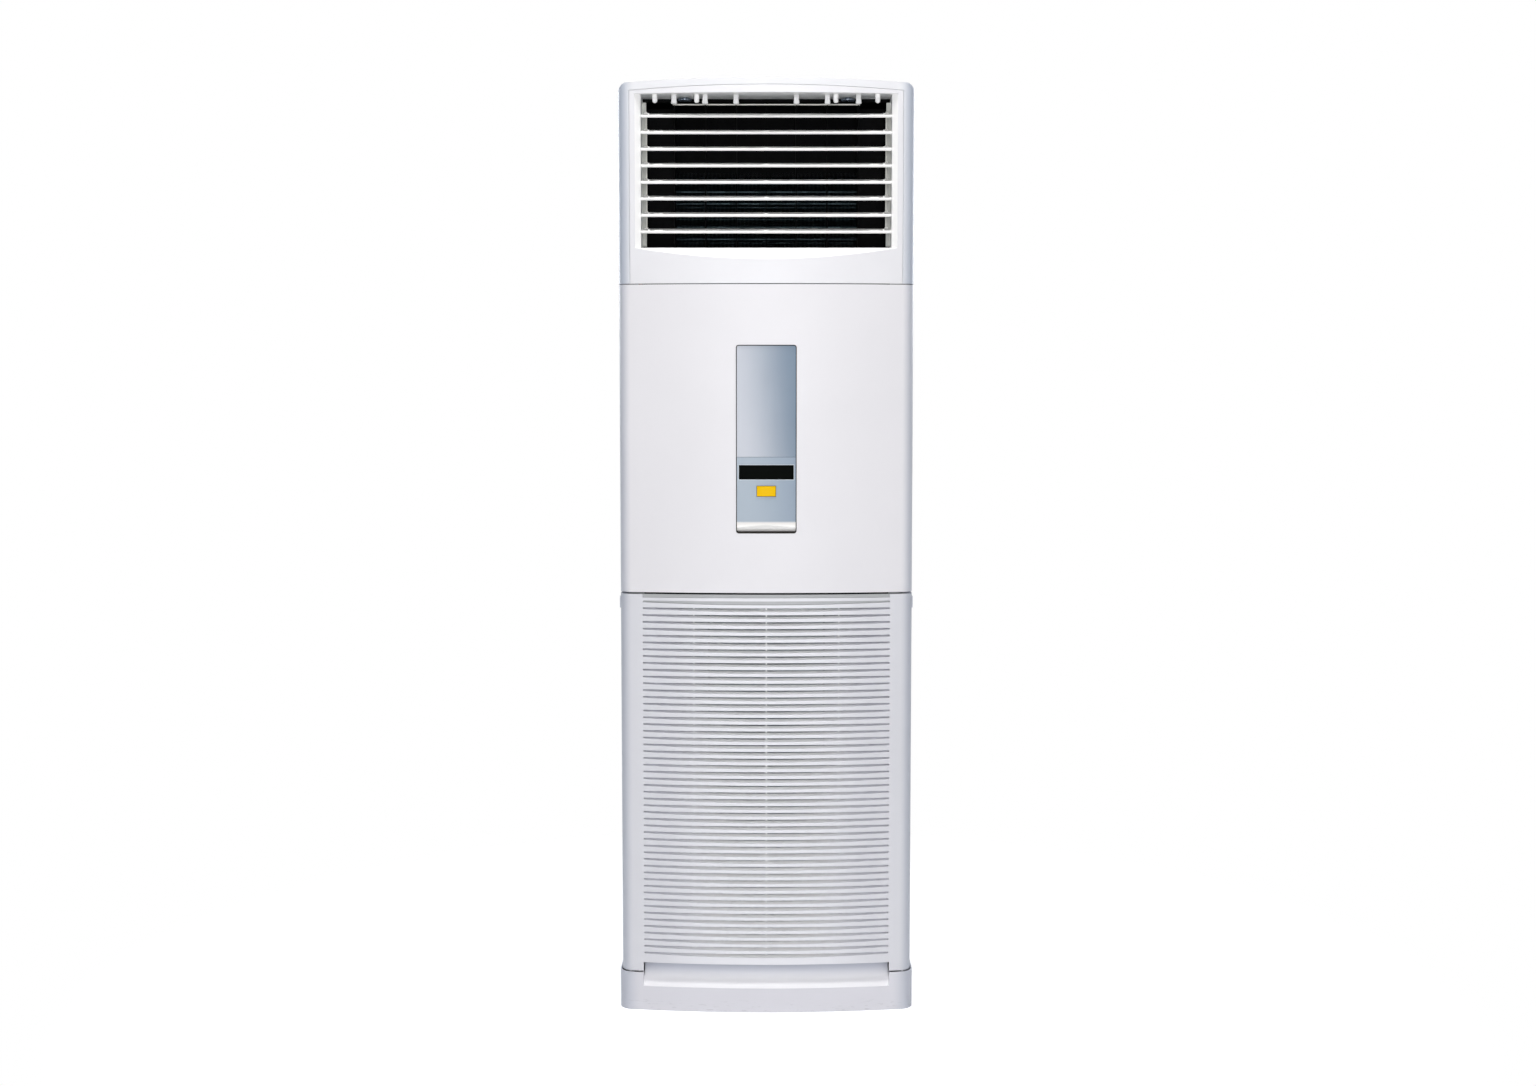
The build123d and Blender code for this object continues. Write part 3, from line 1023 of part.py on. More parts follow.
def blower_wheel():
    """The forward-curved wheel: back disc, front ring, hub and a ring of hooked blades."""
    mid = (WHEEL_R + WHEEL_EYE_R) / 2
    outer = WHEEL_R - 1
    inner = WHEEL_EYE_R + 1
    angle = BLADE_HOOK / WHEEL_R
    tip = (outer * math.cos(angle), outer * math.sin(angle))
    bow = (mid, 1.0)
    t = BLADE_THICK
    blade = make_face([
        ThreePointArc((inner, 0), bow, tip),
        Line(tip, (tip[0], tip[1] + t)),
        ThreePointArc((tip[0], tip[1] + t), (bow[0] - t / 2, bow[1] + t), (inner, t)),
        Line((inner, t), (inner, 0)),
    ])
    blades = [Rot(0, 0, 360 * i / BLADE_COUNT) * blade for i in range(BLADE_COUNT)]
    row = along_y(Sketch() + blades, WHEEL_FRONT_Y + WHEEL_SHEET / 2, WHEEL_BACK_Y - WHEEL_SHEET / 2)
    ring = rod_y(WHEEL_R, 0, WHEEL_FRONT_Y, WHEEL_FRONT_Y + 3 * WHEEL_SHEET, 0)
    ring -= rod_y(WHEEL_EYE_R, 0, WHEEL_FRONT_Y - 1, 0, 0)
    disc = rod_y(WHEEL_R, 0, WHEEL_BACK_Y - WHEEL_SHEET, WHEEL_BACK_Y, 0)
    hub = rod_y(HUB_R, 0, WHEEL_BACK_Y - HUB_LENGTH, WHEEL_BACK_Y, 0)
    bore = rod_y(SHAFT_R, 0, FRONT_Y, BACK_Y, 0)
    return Pos(0, 0, FAN_Z) * (row + ring + disc + hub - bore)


def motor_shaft():
    """The motor's steel shaft, keyed to the wheel's hub."""
    return rod_y(SHAFT_R, 0, WHEEL_BACK_Y - HUB_LENGTH - 10, SCROLL_BACK_Y + MOTOR_LENGTH - 6, FAN_Z)


def fan_motor():
    """The induction motor: ribbed drum with two end bells, bored for its shaft."""
    y0 = SCROLL_BACK_Y - SCROLL_SHEET
    y1 = y0 + MOTOR_LENGTH
    body = rod_y(MOTOR_R, 0, y0 + 12, y1 - 12, FAN_Z)
    body += rod_y(MOTOR_R - 8, 0, y0, y1, FAN_Z)
    body -= rod_y(SHAFT_R + PIN_CLEARANCE, 0, y0 - 1, y1 + 1, FAN_Z)
    return body


def motor_bracket():
    """The folded strap that holds the motor's rear end to the scroll's back."""
    y1 = SCROLL_BACK_Y - SCROLL_SHEET + MOTOR_LENGTH
    half, tall = BRACKET_HALF, BRACKET_HEIGHT / 2
    strap = block(-half, half, y1, y1 + 2 * SHEET, FAN_Z - tall, FAN_Z + tall)
    for side in (-1, 1):
        leg = side * (half - 2 * SHEET)
        strap += block(leg, side * half, SCROLL_BACK_Y, y1 + 1, FAN_Z - tall, FAN_Z + tall)
        strap += block(leg, side * (half + BRACKET_FOOT), SCROLL_BACK_Y, SCROLL_BACK_Y + 2 * SHEET,
                       FAN_Z - tall, FAN_Z + tall)
    return strap - rod_y(SHAFT_R + 6, 0, y1 - 1, y1 + 10, FAN_Z)


# ---------------------------------------------------------------- bulkhead, deck, filter
def bulkhead():
    """The steel wall behind the filter, with the blower's round inlet."""
    half = SIDE_OUT - STEEL_FLANGE
    wall = block(-half, half, RETURN_Y, BULKHEAD_Y, BULKHEAD_LOW_Z, TRAY_LOW_Z)
    return wall - rod_y(BELL_R + BELL_FLARE, 0, RETURN_Y - 1, BULKHEAD_Y + 1, FAN_Z)


def deck():
    """The steel shelf over the blower, with the scroll's outlet and holes for pipes and hose."""
    shelf = block(-SIDE_IN, SIDE_IN, BULKHEAD_Y, DECK_BACK_Y, DECK_Z, DECK_Z + SHEET)
    t = SCROLL_SHEET
    far = SCROLL_RADII[0] - SCROLL_RADII[1] - SCROLL_RADII[2]
    shelf -= block(far + t, THROAT_X - t, SCROLL_FRONT_Y + t, SCROLL_BACK_Y - t, DECK_Z - 1, DECK_Z + 5)
    shelf -= rod_z(HOSE_R + 1, HOSE_X, HOSE_Y, DECK_Z - 1, DECK_Z + 5)
    for (side, depth), r in ((LIQUID_DROP, LIQUID_R), (SUCTION_DROP, SUCTION_R)):
        shelf -= rod_z(r + 1, SIDE_IN - side, FRONT_Y + depth, DECK_Z - 1, DECK_Z + 5)
    return shelf


def filter_guides():
    """The two upright channels on the bulkhead that the filter slides in."""
    y0, y1 = FILTER_Y - GUIDE_GAP, FILTER_Y + FILTER_THICK + GUIDE_GAP
    inner = FILTER_HALF - GUIDE_LIP
    outer = FILTER_HALF + GUIDE_GAP
    low, high = FILTER_LOW_Z - GUIDE_GAP, FILTER_HIGH_Z - GUIDE_DROP
    channel = block(inner, outer + GUIDE_WALL, y0 - GUIDE_WALL, y1 + GUIDE_WALL, low - GUIDE_WALL, high)
    channel -= block(inner - 1, outer, y0, y1, low, high + 1)
    for z in (BULKHEAD_LOW_Z + 20, (BULKHEAD_LOW_Z + TRAY_LOW_Z) / 2, high - GUIDE_DROP):
        channel += block(outer, outer + GUIDE_WALL, y1, RETURN_Y, z, z + 30)
    return Compound(children=[channel, mirrored(channel)])


def filter_frame():
    """The filter's moulded rim and cross bars."""
    y0, y1 = FILTER_Y, FILTER_Y + FILTER_THICK
    rim = block(-FILTER_HALF, FILTER_HALF, y0, y1, FILTER_LOW_Z, FILTER_HIGH_Z)
    b = FILTER_BORDER
    rim -= block(-FILTER_HALF + b, FILTER_HALF - b, y0 - 1, y1 + 1, FILTER_LOW_Z + b, FILTER_HIGH_Z - b)
    width = 2 * (FILTER_HALF - b)
    tall = FILTER_HIGH_Z - FILTER_LOW_Z - 2 * b
    mid = y1 - NET_THICK - 0.1
    for i in range(1, 4):
        x = -width / 2 + i * width / 4
        rim += block(x - FILTER_BAR / 2, x + FILTER_BAR / 2, y0, mid, FILTER_LOW_Z + 1, FILTER_HIGH_Z - 1)
    for i in range(1, 6):
        z = FILTER_LOW_Z + b + i * tall / 6
        rim += block(-FILTER_HALF + 1, FILTER_HALF - 1, y0, mid, z - FILTER_BAR / 2, z + FILTER_BAR / 2)
    return rim


def filter_net():
    """The filter's net: one thin holed sheet inside the rim."""
    half = FILTER_HALF - FILTER_BORDER
    low, high = FILTER_LOW_Z + FILTER_BORDER, FILTER_HIGH_Z - FILTER_BORDER
    dx = 2 * half / FILTER_COLUMNS
    dz = (high - low) / FILTER_ROWS
    sheet = Pos(0, (low + high) / 2) * Rectangle(2 * half, high - low)
    hole = Rectangle(dx - FILTER_BAR, dz - FILTER_BAR)
    holes = []
    for i in range(FILTER_COLUMNS):
        for j in range(FILTER_ROWS):
            holes.append(Pos(-half + (i + 0.5) * dx, low + (j + 0.5) * dz) * hole)
    y1 = FILTER_Y + FILTER_THICK
    return along_y(sheet - holes, y1 - NET_THICK, y1)


# ---------------------------------------------------------------- coil
def coil_point(v, w, x):
    """A point of the coil: v up the slab, w out of its front, x across."""
    y = COIL_LOW[0] + v * COIL_SIN - w * COIL_COS
    z = COIL_LOW[1] + v * COIL_COS + w * COIL_SIN
    return Vector(x, y, z)


def coil_plane(x):
    """The plane of a fin at x, with its own x up the slab and its y out of the front."""
    return Plane(origin=(x, *COIL_LOW), x_dir=(0, COIL_SIN, COIL_COS), z_dir=(1, 0, 0))


def tube_places():
    return [((i + 0.5) * TUBE_PITCH, w) for w in ROW_OFFSETS for i in range(TUBES_PER_ROW)]


def fin_face():
    """One fin: a long strip pierced by every tube."""
    strip = Pos(COIL_LENGTH / 2, 0) * Rectangle(COIL_LENGTH, COIL_THICK)
    return strip - [Pos(v, w) * Circle(TUBE_R + TUBE_CLEARANCE) for v, w in tube_places()]


def evaporator_fins():
    """The fin pack, as separate upright plates along the tubes."""
    face = fin_face()
    step = (2 * COIL_HALF - FIN_THICK) / (FIN_COUNT - 1)
    fins = [extrude(coil_plane(-COIL_HALF + i * step) * face, amount=FIN_THICK) for i in range(FIN_COUNT)]
    return Compound(children=fins)


def evaporator_tubes():
    """Two rows of tube in one unbroken run, bent back at each end."""
    edges = []
    ends = (TUBE_END_X, -TUBE_END_X)
    places = tube_places()
    front = places[:TUBES_PER_ROW]
    rear = places[TUBES_PER_ROW:][::-1]
    for n, (v, w) in enumerate(front + rear):
        here, there = ends[n % 2], ends[(n + 1) % 2]
        edges.append(Line(coil_point(v, w, here), coil_point(v, w, there)))
        if n + 1 < len(places):
            v2, w2 = (front + rear)[n + 1]
            radius = math.hypot(v2 - v, w2 - w) / 2
            bulge = there + math.copysign(radius, there)
            middle = coil_point((v + v2) / 2, (w + w2) / 2, bulge)
            edges.append(ThreePointArc(coil_point(v, w, there), middle, coil_point(v2, w2, there)))
    path = Wire([e.edge() if hasattr(e, "edge") else e for e in edges])
    start = Plane(origin=coil_point(*places[0], TUBE_END_X), z_dir=(-1, 0, 0))
    return sweep(start * Circle(TUBE_R), path=path)


def coil_end_plates():
    """The steel ends of the coil, pierced by the tubes and flanged out to the cabinet's sides."""
    x = COIL_HALF
    face = Pos(COIL_LENGTH / 2, 0) * Rectangle(COIL_LENGTH, COIL_THICK + 10)
    face -= [Pos(v, w) * Circle(TUBE_R + TUBE_CLEARANCE) for v, w in tube_places()]
    plate = extrude(coil_plane(x) * face, amount=SHEET)
    length = COIL_LENGTH - PIPE_PASS
    strip = Pos(PIPE_PASS + length / 2, -COIL_THICK / 2 - 5 + SHEET / 2) * Rectangle(length, SHEET)
    plate += extrude(coil_plane(x) * strip, amount=SIDE_IN - x)
    return Compound(children=[plate, mirrored(plate)])


def drain_tray():
    """The moulded tray under the coil, with a spout for the hose."""
    y0, y1 = TRAY_Y
    tray = block(-TRAY_HALF, TRAY_HALF, y0, y1, TRAY_LOW_Z, TRAY_LOW_Z + TRAY_HEIGHT)
    t = TRAY_WALL
    tray -= block(-TRAY_HALF + t, TRAY_HALF - t, y0 + t, y1 - t,
                  TRAY_LOW_Z + t, TRAY_LOW_Z + TRAY_HEIGHT + 1)
    spout = block(HOSE_X - HOSE_R, -TRAY_HALF + 1, HOSE_Y - HOSE_R, HOSE_Y + HOSE_R, TRAY_LOW_Z,
                  TRAY_LOW_Z + TRAY_HEIGHT / 2)
    hole = HOSE_R - HOSE_WALL
    cut = rod_z(hole, HOSE_X, HOSE_Y, TRAY_LOW_Z - 1, TRAY_LOW_Z + TRAY_HEIGHT / 2 - t)
    cut += block(HOSE_X, -TRAY_HALF + 2 * t, HOSE_Y - hole + 1, HOSE_Y + hole - 1, TRAY_LOW_Z + t,
                 TRAY_LOW_Z + TRAY_HEIGHT / 2 - t)
    return tray + spout - cut


def tube_run(points, radius, bend, bore=0.0):
    """A round tube along straight runs joined by bends."""
    line = FilletPolyline(*points, radius=bend)
    start = Plane(origin=line @ 0, z_dir=line % 0)
    section = start * Circle(radius)
    if bore:
        section -= start * Circle(bore)
    return sweep(section, path=line)


def drain_hose():
    """The plain hose from the tray's spout down to the foot of the cabinet."""
    y = BOX_Y[1] + HOSE_BEHIND_BOX
    over = BOX_TOP_Z + HOSE_OVER_BOX
    points = [(HOSE_X, HOSE_Y, TRAY_LOW_Z), (HOSE_X, HOSE_Y, over), (HOSE_X, y, over),
              (HOSE_X, y, HOSE_FOOT_Z)]
    return tube_run(points, HOSE_R, 3 * HOSE_R, HOSE_R - HOSE_WALL)


def refrigerant_pipes():
    """The two copper pipes from the coil to their flare nuts behind the pipe hole."""
    places = tube_places()
    pipes = []
    routes = ((places[0], LIQUID_DROP, LIQUID_R, -PIPE_SPREAD),
              (places[TUBES_PER_ROW], SUCTION_DROP, SUCTION_R, PIPE_SPREAD))
    end = BACK_Y - PIPE_SETBACK
    for (v, w), (side, depth), r, spread in routes:
        start = coil_point(v, w, TUBE_END_X)
        x, y = SIDE_IN - side, FRONT_Y + depth
        out = PIPE_HOLE_X + spread
        points = [start, (x, start.Y, start.Z), (x, y, start.Z), (x, y, PIPE_Z), (out, y, PIPE_Z),
                  (out, end, PIPE_Z)]
        pipe = tube_run(points, r, 8.5)
        nut = along_y(Pos(out, PIPE_Z) * RegularPolygon(1.9 * r, 6), end - NUT_LENGTH, end)
        pipes.append(pipe + nut)
    return Compound(children=pipes)


# ---------------------------------------------------------------- electrics
def control_box():
    """The folded steel box of the electrics, standing on the base pan and open to the front."""
    box = block(*BOX_X, *BOX_Y, BASE_SHEET, BOX_TOP_Z)
    inner = block(BOX_X[0] + SHEET, BOX_X[1] - SHEET, BOX_Y[0] - 1, BOX_Y[1] - SHEET,
                  BASE_SHEET + SHEET, BOX_TOP_Z - SHEET)
    return box - inner


def control_board():
    """The main circuit board on its spacers, with transformer, capacitors, relays and heat sink."""
    wall = BOX_Y[1] - SHEET
    back = wall - BOARD_GAP
    y0 = back - BOARD_THICK
    x0, x1 = BOX_X[0] + 16, BOX_X[1] - 16
    z0, z1 = BASE_SHEET + 46, BOX_TOP_Z - 14
    board = block(x0, x1, y0, back, z0, z1)
    for x in (x0 + 6, x1 - 6):
        for z in (z0 + 6, z1 - 6):
            board += rod_y(3, x, back, wall, z)
    board += block(x0 + 12, x0 + 56, y0 - 36, y0, z0 + 12, z0 + 50)
    for i in range(3):
        board += rod_y(8, x0 + 74 + 20 * i, y0 - 24, y0, z0 + 22)
    for i in range(4):
        board += block(x0 + 12 + 24 * i, x0 + 30 + 24 * i, y0 - 15, y0, z1 - 86, z1 - 62)
    for i in range(6):
        board += block(x1 - 50 + 8 * i, x1 - 48 + 8 * i, y0 - 22, y0, z1 - 50, z1 - 10)
    board += block(x1 - 52, x1 - 6, y0 - 3, y0, z1 - 50, z1 - 10)
    return board


def terminal_block():
    """The mains terminal block on the floor of the control box."""
    dx, dy, dz = TERMINAL_SIZE
    x, y, z = BOX_X[0] + 20, BOX_Y[0] + 10, BASE_SHEET + SHEET
    base = block(x, x + dx, y, y + dy, z, z + dz)
    poles = 5
    for i in range(poles):
        left = x + 4 + i * (dx - 4) / poles
        right = left + (dx - 4) / poles - 4
        base -= block(left, right, y - 1, y + dy / 2, z + dz / 2, z + dz + 1)
        base += rod_z(4, (left + right) / 2, y + dy / 4, z + dz / 2 - 1, z + dz / 2 + 4)
    return base


# ---------------------------------------------------------------- writing the pieces
PIECES = [
    base_pan, plinth, back_panel, top_cover, casing_screws, grommets, upper_casing, outlet_frame,
    front_panel, intake_grille, grille_hinges, trim_plate, control_plate, display_window, push_button,
    display_board, strip_housing, louvre_links, vane_link, vane_carrier, swing_motor, duct_liner,
    scroll_housing, inlet_bell, blower_wheel, motor_shaft, fan_motor, motor_bracket, bulkhead, deck,
    filter_guides, filter_frame, filter_net, evaporator_fins, evaporator_tubes, coil_end_plates,
    drain_tray, drain_hose, refrigerant_pipes, control_box, control_board, terminal_block,
]
parts = {piece.__name__: piece() for piece in PIECES}
for side, word in ((-1, "left"), (1, "right")):
    parts[f"side_panel_{word}"] = side_panel(side)
    parts[f"grille_clip_{word}"] = grille_clip(side)
for i, z in enumerate(LOUVRE_ZS):
    parts[f"louvre_{i + 1}"] = louvre(z)
for i, x in enumerate(VANE_XS):
    parts[f"vane_{i + 1}"] = vane(x)

for name, shape in parts.items():
    export_step(shape, f"parts/{name}.step")
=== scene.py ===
import math
import bpy
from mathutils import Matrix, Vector


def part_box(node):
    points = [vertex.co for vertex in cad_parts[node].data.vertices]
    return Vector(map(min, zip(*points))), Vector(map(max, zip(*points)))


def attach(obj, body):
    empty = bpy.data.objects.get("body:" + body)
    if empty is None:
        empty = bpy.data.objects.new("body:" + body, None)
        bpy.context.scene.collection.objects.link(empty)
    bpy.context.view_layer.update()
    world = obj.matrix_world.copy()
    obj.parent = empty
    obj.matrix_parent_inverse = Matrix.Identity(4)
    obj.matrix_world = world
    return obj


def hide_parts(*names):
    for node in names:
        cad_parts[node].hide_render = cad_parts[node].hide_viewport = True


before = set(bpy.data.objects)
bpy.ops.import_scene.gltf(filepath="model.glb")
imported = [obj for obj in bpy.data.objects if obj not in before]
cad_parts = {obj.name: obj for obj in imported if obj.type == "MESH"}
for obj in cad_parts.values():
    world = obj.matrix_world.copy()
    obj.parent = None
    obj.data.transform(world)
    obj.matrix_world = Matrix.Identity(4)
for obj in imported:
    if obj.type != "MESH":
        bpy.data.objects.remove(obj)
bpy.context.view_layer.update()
bpy.ops.object.select_all(action="DESELECT")


# ------------------------------------------------------------------ studio
# A pale floor that fades into a white surround. A tall strip lamp in front gives the
# soft upright highlight, one lamp hangs overhead, and two behind light the sides.
def shade(red, green, blue):
    """A colour as the screen shows it, 0 to 255, turned into the light it stands for."""
    shown = [c / 255 for c in (red, green, blue)]
    return (*[c / 12.92 if c < 0.043 else ((c + 0.055) / 1.055) ** 2.4 for c in shown], 1.0)


class Amount:
    """A quantity that varies over a surface; arithmetic on it adds Math nodes to its finish."""

    def __init__(self, finish, socket):
        self.finish = finish
        self.socket = socket

    def worked(self, operation, *operands):
        return self.finish.node("Math", {"operation": operation}, dict(enumerate(operands)))

    def __add__(self, other):
        return self.worked("ADD", self, other)

    def __sub__(self, other):
        return self.worked("SUBTRACT", self, other)

    def __rsub__(self, other):
        return self.worked("SUBTRACT", other, self)

    def __mul__(self, other):
        return self.worked("MULTIPLY", self, other)

    def __abs__(self):
        return self.worked("ABSOLUTE", self)

    def or_larger(self, other):
        return self.worked("MAXIMUM", self, other)

    __radd__ = __add__
    __rmul__ = __mul__


class Finish:
    """The shader nodes of one material, or of the surround."""

    def __init__(self, owner):
        owner.use_nodes = True
        self.owner = owner
        self.tree = owner.node_tree
        self.tree.nodes.clear()

    def node(self, kind, settings, sockets, output=0):
        made = self.tree.nodes.new("ShaderNode" + kind)
        for key, value in settings.items():
            setattr(made, key, value)
        for key, value in sockets.items():
            if isinstance(value, Amount):
                self.tree.links.new(value.socket, made.inputs[key])
            else:
                made.inputs[key].default_value = value
        return Amount(self, made.outputs[output]) if made.outputs else made

    def place(self):
        return self.node("TexCoord", {}, {}, "Object")

    def along(self, axis):
        return self.node("SeparateXYZ", {}, {0: self.place()}, axis)

    def noise(self, scale, detail=2.0, stretch=(1, 1, 1)):
        where = self.node("Mapping", {}, {"Vector": self.place(), "Scale": stretch})
        return self.node("TexNoise", {}, {"Vector": where, "Scale": scale, "Detail": detail})

    def rise(self, amount, start, end):
        """0 where the amount is at start, 1 where it is at end, and smooth between them."""
        return self.node("MapRange", {"interpolation_type": "SMOOTHSTEP"},
                         {"Value": amount, "From Min": start, "From Max": end})

    def mix(self, amount, first, second):
        return self.node("Mix", {"data_type": "RGBA"}, {0: amount, 6: first, 7: second}, 2)

    def bump(self, height, depth, **more):
        return self.node("Bump", {}, {"Height": height, "Distance": depth, **more})

    def soft_edge(self, radius):
        """A normal that rounds the sharp edges of a piece."""
        return self.node("Bevel", {"samples": 4}, {"Radius": radius})

    def surface(self, **sockets):
        named = {key.replace("_", " "): value for key, value in sockets.items()}
        shader = self.node("BsdfPrincipled", {}, named)
        self.node("OutputMaterial", {}, {"Surface": shader})
        return self.owner


CAMERA_PLACE = (0.0034, -4.0719, 1.2718)
CAMERA_DIP = 4.557  # degrees below the level
bpy.ops.object.camera_add(location=CAMERA_PLACE, rotation=(math.radians(90 - CAMERA_DIP), 0, 0))
camera = bpy.context.object
camera.data.sensor_width = 36.0
camera.data.lens = 45.78
bpy.context.scene.camera = camera
bpy.context.scene.view_settings.view_transform = "Standard"

# Each lamp's name, place, the point it shines at, size, power and colour.
COOL = (0.94, 0.97, 1.0)
LAMPS = [
    ("front_lamp", (0, -4.6, 1.52), (0, 0, 1.15), (0.8, 2.9), 83.0, (1.0, 1.0, 1.0)),
    ("top_lamp", (0, -0.8, 4.3), (0, -0.1, 1.8), (1.0, 0.8), 76.0, (1.0, 0.995, 0.98)),
    ("left_lamp", (-2.2, 2.5, 2.2), (-0.2, 0, 1.0), (1.5, 1.5), 46.0, COOL),
    ("right_lamp", (2.2, 2.5, 2.2), (0.2, 0, 1.0), (1.5, 1.5), 46.0, COOL),
]
for name, where, towards, size, power, colour in LAMPS:
    turn = (Vector(towards) - Vector(where)).to_track_quat("-Z", "Y").to_euler()
    bpy.ops.object.light_add(type="AREA", location=where, rotation=turn)
    lamp = bpy.context.object
    lamp.name = name
    lamp.data.shape = "RECTANGLE"
    lamp.data.size, lamp.data.size_y = size
    lamp.data.energy = power
    lamp.data.color = colour

WHITE = (1, 1, 1, 1)
surround = Finish(bpy.data.worlds.new("surround"))
bpy.context.scene.world = surround.owner
rays = surround.node("LightPath", {}, {}, "Is Camera Ray")
for kind in ("Is Glossy Ray", "Is Transmission Ray"):
    rays = rays + surround.node("LightPath", {}, {}, kind)
seen = surround.node("Background", {}, {"Color": WHITE, "Strength": 1.0})
ahead = surround.node("Background", {}, {"Color": (0.985, 0.985, 1.0, 1), "Strength": 0.40})
behind = surround.node("Background", {}, {"Color": (0.66, 0.78, 1.0, 1), "Strength": 0.10})
facing = surround.node("SeparateXYZ", {}, {0: surround.node("TexCoord", {}, {}, "Generated")}, "Y")
dome = surround.node("MixShader", {}, {0: surround.rise(facing, -1.0, -0.2), 1: ahead, 2: behind})
both = surround.node("MixShader", {}, {0: rays, 1: dome, 2: seen})
surround.node("OutputWorld", {}, {"Surface": both})

FLOOR_RADIUS = 9.0
FADE = (0.55, 1.5)  # the paper turns to plain white between these distances from the cabinet
bpy.ops.mesh.primitive_circle_add(vertices=96, radius=FLOOR_RADIUS, fill_type="NGON")
floor = bpy.context.object
floor.name = "floor"
ground = Finish(bpy.data.materials.new("floor_paper"))
away = ground.node("VectorMath", {"operation": "LENGTH"}, {0: ground.place()}, "Value")
eye = ground.node("LightPath", {}, {}, "Is Camera Ray")
eye = eye + ground.node("LightPath", {}, {}, "Is Glossy Ray")
paper = ground.node("BsdfDiffuse", {}, {"Color": (0.86, 0.86, 0.87, 1)})
glow = ground.node("Emission", {}, {"Color": WHITE, "Strength": 0.55})
near = ground.node("AddShader", {}, {0: paper, 1: glow})
plain = ground.node("Emission", {}, {"Color": WHITE, "Strength": 1.0})
shown = ground.node("MixShader", {}, {0: ground.rise(away, *FADE), 1: near, 2: plain})
whole = ground.node("MixShader", {}, {0: eye, 1: paper, 2: shown})
ground.node("OutputMaterial", {}, {"Surface": whole})
floor.data.materials.append(ground.owner)


# ------------------------------------------------------------------ base pan, deck and inner sheet metal
# Folded from hot-dip galvanised sheet: the zinc has frozen in grains of slightly
# different grey, and the sheets carry faint marks from handling.
def dress(material, *nodes):
    """Gives CAD nodes one material."""
    for node in nodes:
        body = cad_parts[node]
        body.data.materials.clear()
        body.data.materials.append(material)


def scaled(colour, share):
    """A colour made darker or lighter by a share."""
    return (*[min(1.0, share * c) for c in colour[:3]], 1)


def galvanised(name, colour):
    finish = Finish(bpy.data.materials.new(name))
    cell = finish.node("TexVoronoi", {}, {"Vector": finish.place(), "Scale": 85.0}, "Color")
    flake = finish.node("SeparateColor", {}, {0: cell}, 0)
    cloud = finish.noise(9.0, 4.0)
    scratch = finish.rise(finish.noise(140.0, 3.0, (1, 1, 0.06)), 0.62, 0.75)
    return finish.surface(
        Base_Color=finish.mix(flake * 0.6 + cloud * 0.4, scaled(colour, 0.72), colour), Metallic=0.85,
        Roughness=0.34 + flake * 0.16 + scratch * 0.12,
        Normal=finish.bump(flake + scratch, 0.00003))


dress(galvanised("zinc_sheet", shade(196, 199, 203)), "base_pan", "bulkhead", "deck", "scroll_housing",
      "inlet_bell", "motor_bracket", "coil_end_plates", "control_box", "grille_hinges")


# ------------------------------------------------------------------ plinth
# The moulded skirt the cabinet stands in. White plastic with a fine spark-eroded grain, softened edges
# and a little scuffing where feet and brooms reach it. Its rounded corners carry painted shade, and the
# scoop in its front a painted highlight at its foot that turns to painted shade towards its top.
FACE_FRONT = 0.1705  # how far the bowed faces stand out at their centre line
FACE_BOW = 0.2984  # they fall back by this much times the square of the way to the side


def behind_face(finish):
    """How far a point lies behind the bowed faces of the cabinet."""
    across = finish.along("X")
    return finish.along("Y") + FACE_FRONT - across * across * FACE_BOW


